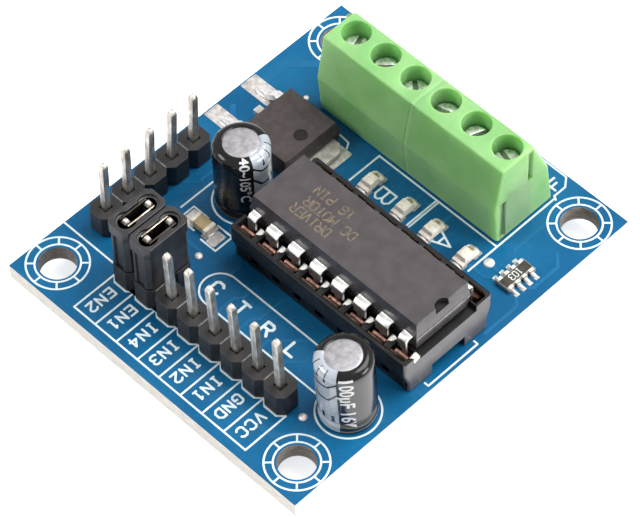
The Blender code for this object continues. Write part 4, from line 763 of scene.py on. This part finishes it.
def wrapped_words(shape, text, size, narrow, turn, run, lift=0.000012):
    """Words printed down the sleeve, with the tops of the letters towards greater angles."""
    letters = bpy.data.curves.new("letters", "FONT")
    letters.body = text
    letters.size = size
    letters.align_y = "CENTER"
    letters.offset = size * 0.022
    letters.resolution_u = 3
    holder = placed("letters", letters)
    bpy.context.view_layer.update()
    flat = bpy.data.meshes.new_from_object(holder.evaluated_get(bpy.context.evaluated_depsgraph_get()))
    bpy.data.objects.remove(holder, do_unlink=True)
    letter_shape = bmesh.new()
    letter_shape.from_mesh(flat)
    bmesh.ops.remove_doubles(letter_shape, verts=letter_shape.verts, dist=1e-7)
    reach = max(vert.co.x for vert in letter_shape.verts)
    cuts = [((step * 0.0001, 0.0, 0.0), (1.0, 0.0, 0.0)) for step in range(1, int(reach / 0.0001) + 1)]
    cuts += [((0.0, step * 0.00012, 0.0), (0.0, 1.0, 0.0)) for step in range(-8, 9)]
    for cut_place, cut_way in cuts:
        everything = letter_shape.verts[:] + letter_shape.edges[:] + letter_shape.faces[:]
        bmesh.ops.bisect_plane(letter_shape, geom=everything, plane_co=cut_place, plane_no=cut_way)
    for vert in letter_shape.verts:
        vert.co = on_sleeve(turn + math.degrees(vert.co.y / can_radius), run + vert.co.x * narrow, lift)
    letter_shape.to_mesh(flat)
    letter_shape.free()
    shape.from_mesh(flat)


stripe_marks = [
    (0.00019, [(-46.0, 0.0015), (-26.0, 0.00225), (0.0, 0.00245), (26.0, 0.00225), (46.0, 0.0015)]),
    (0.00019, [(-46.0, 0.0029), (-26.0, 0.004), (0.0, 0.00412), (26.0, 0.004), (46.0, 0.0029)]),
]
for mark_width, mark_start, mark_end, turns in ((0.00011, 0.0004, 0.0016, (-20.0, 0.0, 20.0)),
                                                (0.00024, 0.00135, 0.0017, (-20.0, 0.0, 20.0)),
                                                (0.00028, 0.0061, 0.0072, (-33.0, -11.0, 11.0, 33.0))):
    stripe_marks += [(mark_width, [(turn, mark_start), (turn, mark_end)]) for turn in turns]


def bung_part(face):
    """The two tinned legs pass through the board; the rest is rubber."""
    return 1 if face.calc_center_median().z < board_top + 0.00005 else 0


can_lean = math.radians(2.0)
for number, wall, lean, stripe_turn, words, size, narrow, word_turn, word_run in (
        (1, sleeve_painted_shade, 0.0, 24.0, "40~105\u00b0C", 0.00124, 1.06, -39.0, 0.0002),
        (2, sleeve_black, can_lean, -105.0, "100\u00b5F 16V", 0.00168, 0.94, -43.0, 0.0007)):
    foot = Matrix.Translation((*capacitor_axes[number - 1], board_top + math.sin(lean) * can_radius))
    tip_over = foot @ Matrix.Rotation(lean, 4, (1, -1, 0))
    shape = bmesh.new()
    revolved(shape, sleeve_run + [(0.00205, 0.0006)], (0.0, 0.0), 120)
    revolved(shape, disc_profile, (0.0, 0.0), 120)
    sewn(shape)
    for face in shape.faces:
        centre = face.calc_center_median()
        turn = (math.degrees(math.atan2(centre.y, centre.x)) - stripe_turn + 180.0) % 360.0 - 180.0
        if math.hypot(centre.x, centre.y) < disc_radius and centre.z > lap_edge:
            face.material_index = 2
        elif abs(turn) < stripe_half and centre.z > 0.0003:
            face.material_index = 1
        else:
            # The lap over the top edge takes its painted shade.
            face.material_index = 3 if centre.z > lap_edge else 0
    bmesh.ops.transform(shape, matrix=tip_over, verts=shape.verts)
    smoothed(made(f"capacitor_{number}_sleeve", shape, [wall, stripe_grey, can_aluminium, sleeve_lap_painted_shade],
                  "can_sleeve", stands_for=(f"capacitor_can_{number}",)), 60.0)
    printing = bmesh.new()
    for line_width, line in stripe_marks:
        wrapped_line(printing, [(stripe_turn + turn, run) for turn, run in line], line_width)
    for face in printing.faces:
        face.material_index = 1
    wrapped_words(printing, words, size, narrow, word_turn, word_run)
    bmesh.ops.transform(printing, matrix=tip_over, verts=printing.verts)
    made(f"capacitor_{number}_printing", printing, [print_white, sleeve_black], "can_sleeve")
    dressed(f"capacitor_bung_{number}", f"capacitor_{number}_bung", [bung_rubber, pin_tin], 0.00003,
            bung_part)

# Voltage regulator
# A moulded body over a tinned metal tab that is soldered to the board, with two formed leads and
# the stump of a middle one.
regulator_epoxy = finish("regulator_epoxy", (0.04, 0.03, 0.029), (0.06, 0.047, 0.045), 0.0008, (0.5, 0.65),
                         0.00008, relief=0.000012, specular=0.35)
# A near-black copy of the epoxy for the ejector dimple: painted shade in the recess.
regulator_dimple_painted_shade = finish("regulator_dimple_painted_shade", (0.01, 0.008, 0.006), (0.018, 0.015, 0.012), 0.0008,
                          (0.5, 0.65), 0.00008, relief=0.000012, specular=0.2)
regulator_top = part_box("regulator_body")[1].z


def regulator_part(face):
    """The floor and the wall of the ejector dimple lie just under the top, and take a painted shade."""
    middle = face.calc_center_median().z
    return 1 if regulator_top - 0.00013 < middle < regulator_top - 0.00002 else 0


dressed("regulator_body", "regulator_moulding", [regulator_epoxy, regulator_dimple_painted_shade], 0.00006,
        regulator_part)
tab_tin = finish("tab_tin", (0.36, 0.34, 0.31), (0.58, 0.55, 0.5), 0.0006, (0.42, 0.58), relief=0.00001,
                 metallic=0.8)
dressed("regulator_tab", "regulator_tab_tinned", [tab_tin], 0.00004)
for number in (1, 2):
    dressed(f"regulator_lead_{number}", f"regulator_lead_{number}_tinned", [lead_solder], 0.00004)

# Indicator lights, chip capacitor and resistor array
# Small surface-mounted parts: a cloudy resin lens on a white base, a tan ceramic block between
# tinned ends, and a black glazed block with eight tinned terminals.
led_resin = finish("led_resin", (0.78, 0.68, 0.57), (0.96, 0.9, 0.82), 0.0003, (0.25, 0.4), 0.00006,
                   relief=0.00002, coat=0.3)
ceramic = finish("capacitor_ceramic", (0.36, 0.27, 0.13), (0.46, 0.36, 0.19), 0.0006, (0.35, 0.5), 0.00008)
array_glaze = finish("array_glaze", (0.03, 0.022, 0.019), (0.055, 0.042, 0.037), 0.0006, (0.2, 0.35))
array_body = finish("array_ceramic", (0.22, 0.21, 0.19), (0.36, 0.35, 0.32), 0.0005, (0.4, 0.55))
amber_mark = finish("amber_mark", (0.22, 0.17, 0.08), (0.46, 0.38, 0.2), 0.0002, (0.2, 0.35))


def light_part(face):
    """The base's end faces are tinned; the rest is resin."""
    return 1 if abs(face.calc_center_median().y - light_y) > 0.001 else 0


for number in range(1, 5):
    light_low, light_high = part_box(f"led_{number}")
    light_y = (light_low.y + light_high.y) / 2
    light_x = (light_low.x + light_high.x) / 2
    dressed(f"led_{number}", f"led_{number}_lens", [led_resin, dull_tin], 0.00007, light_part)
    mark = bmesh.new()
    place = Matrix.Translation((light_x - 0.0001, light_y + 0.00078, board_top + 0.00047))
    bmesh.ops.create_uvsphere(mark, u_segments=16, v_segments=8, radius=1.0,
                              matrix=place @ Matrix.Diagonal((0.00034, 0.0002, 0.00009, 1.0)))
    smoothed(made(f"led_{number}_polarity_mark", mark, [amber_mark], "led_resin"))
capacitor_low, capacitor_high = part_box("chip_capacitor")


def capacitor_part(face):
    """Tinned caps on the two ends, ceramic between them."""
    centre = face.calc_center_median()
    end = min(centre.x - capacitor_low.x, capacitor_high.x - centre.x)
    return 1 if end < 0.00041 else 0


end_tin = finish("end_tin", (0.7, 0.62, 0.52), (0.9, 0.83, 0.73), 0.0004, (0.35, 0.5), metallic=0.2)
dressed("chip_capacitor", "chip_capacitor_block", [ceramic, end_tin], 0.00006, capacitor_part)
dressed("resistor_array", "resistor_array_block", [array_body], 0.00003)
array_low, array_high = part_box("resistor_array")
array_x = (array_low.x + array_high.x) / 2
array_y = (array_low.y + array_high.y) / 2
glaze = bmesh.new()
flat_pad(glaze, (array_x - 0.00047, array_y - 0.00154), (array_x + 0.00047, array_y + 0.00154), 0.00005,
         array_high.z - 0.00001, 0.00003)
made("resistor_array_glaze", glaze, [array_glaze], "array_glaze")
terminals = bmesh.new()
for side in (-1, 1):
    for step in range(4):
        terminal_y = array_y + 0.0008 * (step - 1.5)
        near = array_x + side * 0.00048
        far = array_x + side * 0.00082
        for low_z, high_z, inner in ((array_high.z - 0.00002, array_high.z + 0.00002, near),
                                     (board_top + 0.00005, array_high.z + 0.00002, far - side * 0.00004)):
            block(terminals, ((far + inner) / 2, terminal_y, (low_z + high_z) / 2),
                  (abs(far - inner), 0.00042, high_z - low_z))
made("resistor_array_terminals", terminals, [dull_tin], "array_glaze")

# Silk print
# White ink screened on the mask: a frame for each control pin's name, rings round the mounting
# holes, and outlines of the parts.
ink_height = 0.00003
ink_width = 0.00017
silk_ink = finish("silk_ink", (0.66, 0.8, 0.84), (0.84, 0.93, 0.95), 0.0008, (0.5, 0.65))
silk = bmesh.new()


def inked(points, width=ink_width):
    """A printed line through the points, with round corners and ends."""
    line_drawn(silk, points, width, board_top, ink_height)


def inked_arc(centre, radius, start, sweep):
    """A printed arc, with angles in degrees."""
    count = max(4, int(abs(sweep) / 6))
    arc = []
    for step in range(count + 1):
        angle = math.radians(start + sweep * step / count)
        arc.append((centre[0] + radius * math.cos(angle), centre[1] + radius * math.sin(angle)))
    inked(arc)


inner_ring = 0.00195
outer_ring = 0.0027
for side_x in (-1, 1):
    for side_y in (-1, 1):
        middle = (side_x * hole_x, side_y * hole_y)
        inked_arc(middle, outer_ring, 0.0, 360.0)
        inked_arc(middle, inner_ring, 0.0, 360.0)
        for step in range(8):
            ray = (math.cos(math.radians(45.0 * step)), math.sin(math.radians(45.0 * step)))
            inked([(middle[0] + reach * ray[0], middle[1] + reach * ray[1])
                   for reach in (inner_ring, outer_ring)])

ring = [(1, 0), (0, 1), (0, 5), (1, 6), (3, 6), (4, 5), (4, 1), (3, 0), (1, 0)]
bowl = [(0, 0), (0, 6), (3, 6), (4, 5), (4, 4), (3, 3), (0, 3)]
belly = [(3, 3), (4, 2), (4, 1), (3, 0)]
hook = [(4, 5), (3, 6), (1, 6), (0, 5), (0, 1), (1, 0), (3, 0), (4, 1)]
strokes = {
    "A": [[(0, 0), (2, 6), (4, 0)], [(0.8, 2), (3.2, 2)]],
    "B": [bowl, belly + [(0, 0)]],
    "C": [hook],
    "D": [[(0, 0), (0, 6), (2.4, 6), (4, 4.4), (4, 1.6), (2.4, 0), (0, 0)]],
    "E": [[(4, 6), (0, 6), (0, 0), (4, 0)], [(0, 3), (3, 3)]],
    "G": [hook + [(4, 3), (2.4, 3)]],
    "F": [[(0, 0), (0, 6), (4, 6)], [(0, 3), (3, 3)]],
    "I": [[(1, 6), (3, 6)], [(2, 6), (2, 0)], [(1, 0), (3, 0)]],
    "L": [[(0, 6), (0, 0), (4, 0)]],
    "M": [[(0, 0), (0, 6), (2, 2.4), (4, 6), (4, 0)]],
    "N": [[(0, 0), (0, 6), (4, 0), (4, 6)]],
    "O": [ring],
    "P": [bowl],
    "R": [bowl, [(2, 3), (4, 0)]],
    "T": [[(0, 6), (4, 6)], [(2, 6), (2, 0)]],
    "V": [[(0, 6), (2, 0), (4, 6)]],
    "0": [ring],
    "1": [[(1, 5), (2, 6), (2, 0)], [(1, 0), (3, 0)]],
    "2": [[(0, 5), (1, 6), (3, 6), (4, 5), (4, 4), (0, 0), (4, 0)]],
    "3": [[(0, 5.4), (1, 6), (3, 6), (4, 5), (4, 4), (3, 3), (2, 3)], belly + [(1, 0), (0, 0.6)]],
    "4": [[(3, 0), (3, 6), (0, 2), (4, 2)]],
    "6": [[(4, 5.4), (3, 6), (1, 6), (0, 5), (0, 1), (1, 0), (3, 0), (4, 1), (4, 2), (3, 3), (0, 3)]],
    " ": [],
}


def letter_lines(text, start, heading, height, wide, advance):
    """The strokes of words as runs of points, from the foot of the first letter along a heading."""
    for place, letter in enumerate(text):
        for stroke in strokes[letter]:
            run = []
            for across, up in stroke:
                along = place * advance + across * wide / 4
                rise = up * height / 6
                run.append((start[0] + heading[0] * along - heading[1] * rise,
                            start[1] + heading[1] * along + heading[0] * rise))
            yield run


def lettered(text, start, heading, height, wide, advance, width=0.00019):
    """Printed words on the board."""
    for run in letter_lines(text, start, heading, height, wide, advance):
        inked(run, width)


cell_edges = [-0.00993 + pin_pitch * step for step in range(9)]
cell_foot = -0.01878
cell_neck = -0.01473
cell_top = -0.0142
first, last = cell_edges[0], cell_edges[-1]
inked([(first, cell_top), (first, cell_foot), (last, cell_foot), (last, cell_top)])
for x in cell_edges[1:-1]:
    inked([(x, cell_foot), (x, cell_top)])
for left, right in zip(cell_edges, cell_edges[1:]):
    inked([(left, cell_top), (left + 0.0006, cell_neck), (right - 0.0006, cell_neck), (right, cell_top)])
for left, text in zip(cell_edges, ("EN2", "EN1", "IN4", "IN3", "IN2", "IN1", "GND", "VCC")):
    lettered(text, (left + 0.00063, -0.01543), (0, -1), 0.00093, 0.00065, 0.001)
lettered("B", (-0.00033, 0.008), (0, -1), 0.0016, 0.0013, 0.0)
lettered("A", (0.00655, 0.008), (0, -1), 0.0016, 0.0013, 0.0)
lettered("F", (0.0104, 0.0178), (0, 1), 0.001, 0.0009, 0.0)
lettered("CTRL", (-0.00325, -0.0098), (1, 0), 0.0012, 0.00085, 0.00299, 0.00026)

inked([(-0.01103, -0.00545), (-0.01103, -0.00172)])
inked([(-0.0169, -0.01344), (-0.0109, -0.01344)])
inked([(-0.0085, -0.00465), (-0.0103, -0.00465), (-0.0103, -0.0064), (-0.0085, -0.0064)])
inked([(-0.0074, -0.00466), (-0.00565, -0.00466), (-0.00565, -0.00665), (-0.0074, -0.00665)])
pill_x = -0.00245
pill_y = -0.0092
pill_radius = 0.00175
inked([(0.011, pill_y + pill_radius), (pill_x, pill_y + pill_radius)])
inked_arc((pill_x, pill_y), pill_radius, 90.0, 180.0)
inked([(pill_x, pill_y - pill_radius), (0.011, pill_y - pill_radius)])
for axis in reversed(capacitor_axes):
    inked_arc(axis, can_radius + 0.00025, 0.0, 360.0)
inked([(-0.00684, 0.00936), (-0.00574, 0.00925), (-0.0054, 0.0087)])
inked([(-0.00285, 0.00646), (-0.00285, 0.0101)])
inked([(0.00395, 0.00646), (0.00395, 0.01008)])
inked([(0.0042, 0.00646), (0.0042, 0.01008)])
inked([(0.01093, 0.00661), (0.01093, 0.01702)])
inked([(-0.0028, 0.01008), (0.0109, 0.01008)])
inked([(0.0111, 0.0171), (0.01074, 0.0173), (0.01074, 0.01865), (0.01007, 0.01949), (-0.01, 0.01945)])
inked([(0.0162, -0.004), (0.0166, -0.004), (0.0166, 0.0018), (0.0162, 0.0018)])
made("silk_print", silk, [silk_ink], "board")

marking = bmesh.new()
for run in letter_lines("103", (array_x - 0.00031, array_y + 0.00058), (0, -1), 0.00062, 0.00032, 0.00044):
    line_drawn(marking, run, 0.00009, array_high.z + 0.00002, 0.000006)
made("resistor_array_marking", marking, [print_white], "array_glaze")

# Chip marking
# The kind of chip, burnt into its top by a laser. The letters are thin and only a little paler
# and browner than the epoxy.
laser_mark = finish("laser_mark", (0.075, 0.06, 0.045), (0.2, 0.155, 0.1), 0.0004, (0.5, 0.6))
burnt = bmesh.new()
for text, end_x, line_y in (("DRIVER", 0.0037, -0.002), ("DC MOTOR", 0.0055, -0.0008),
                            ("16 PIN", 0.0039, 0.0006)):
    for run in letter_lines(text, (end_x, line_y), (-1, 0), 0.00088, 0.00054, 0.00072):
        line_drawn(burnt, run, 0.00014, chip_high.z, 0.000004)
made("driver_chip_marking", burnt, [laser_mark], "chip_epoxy")
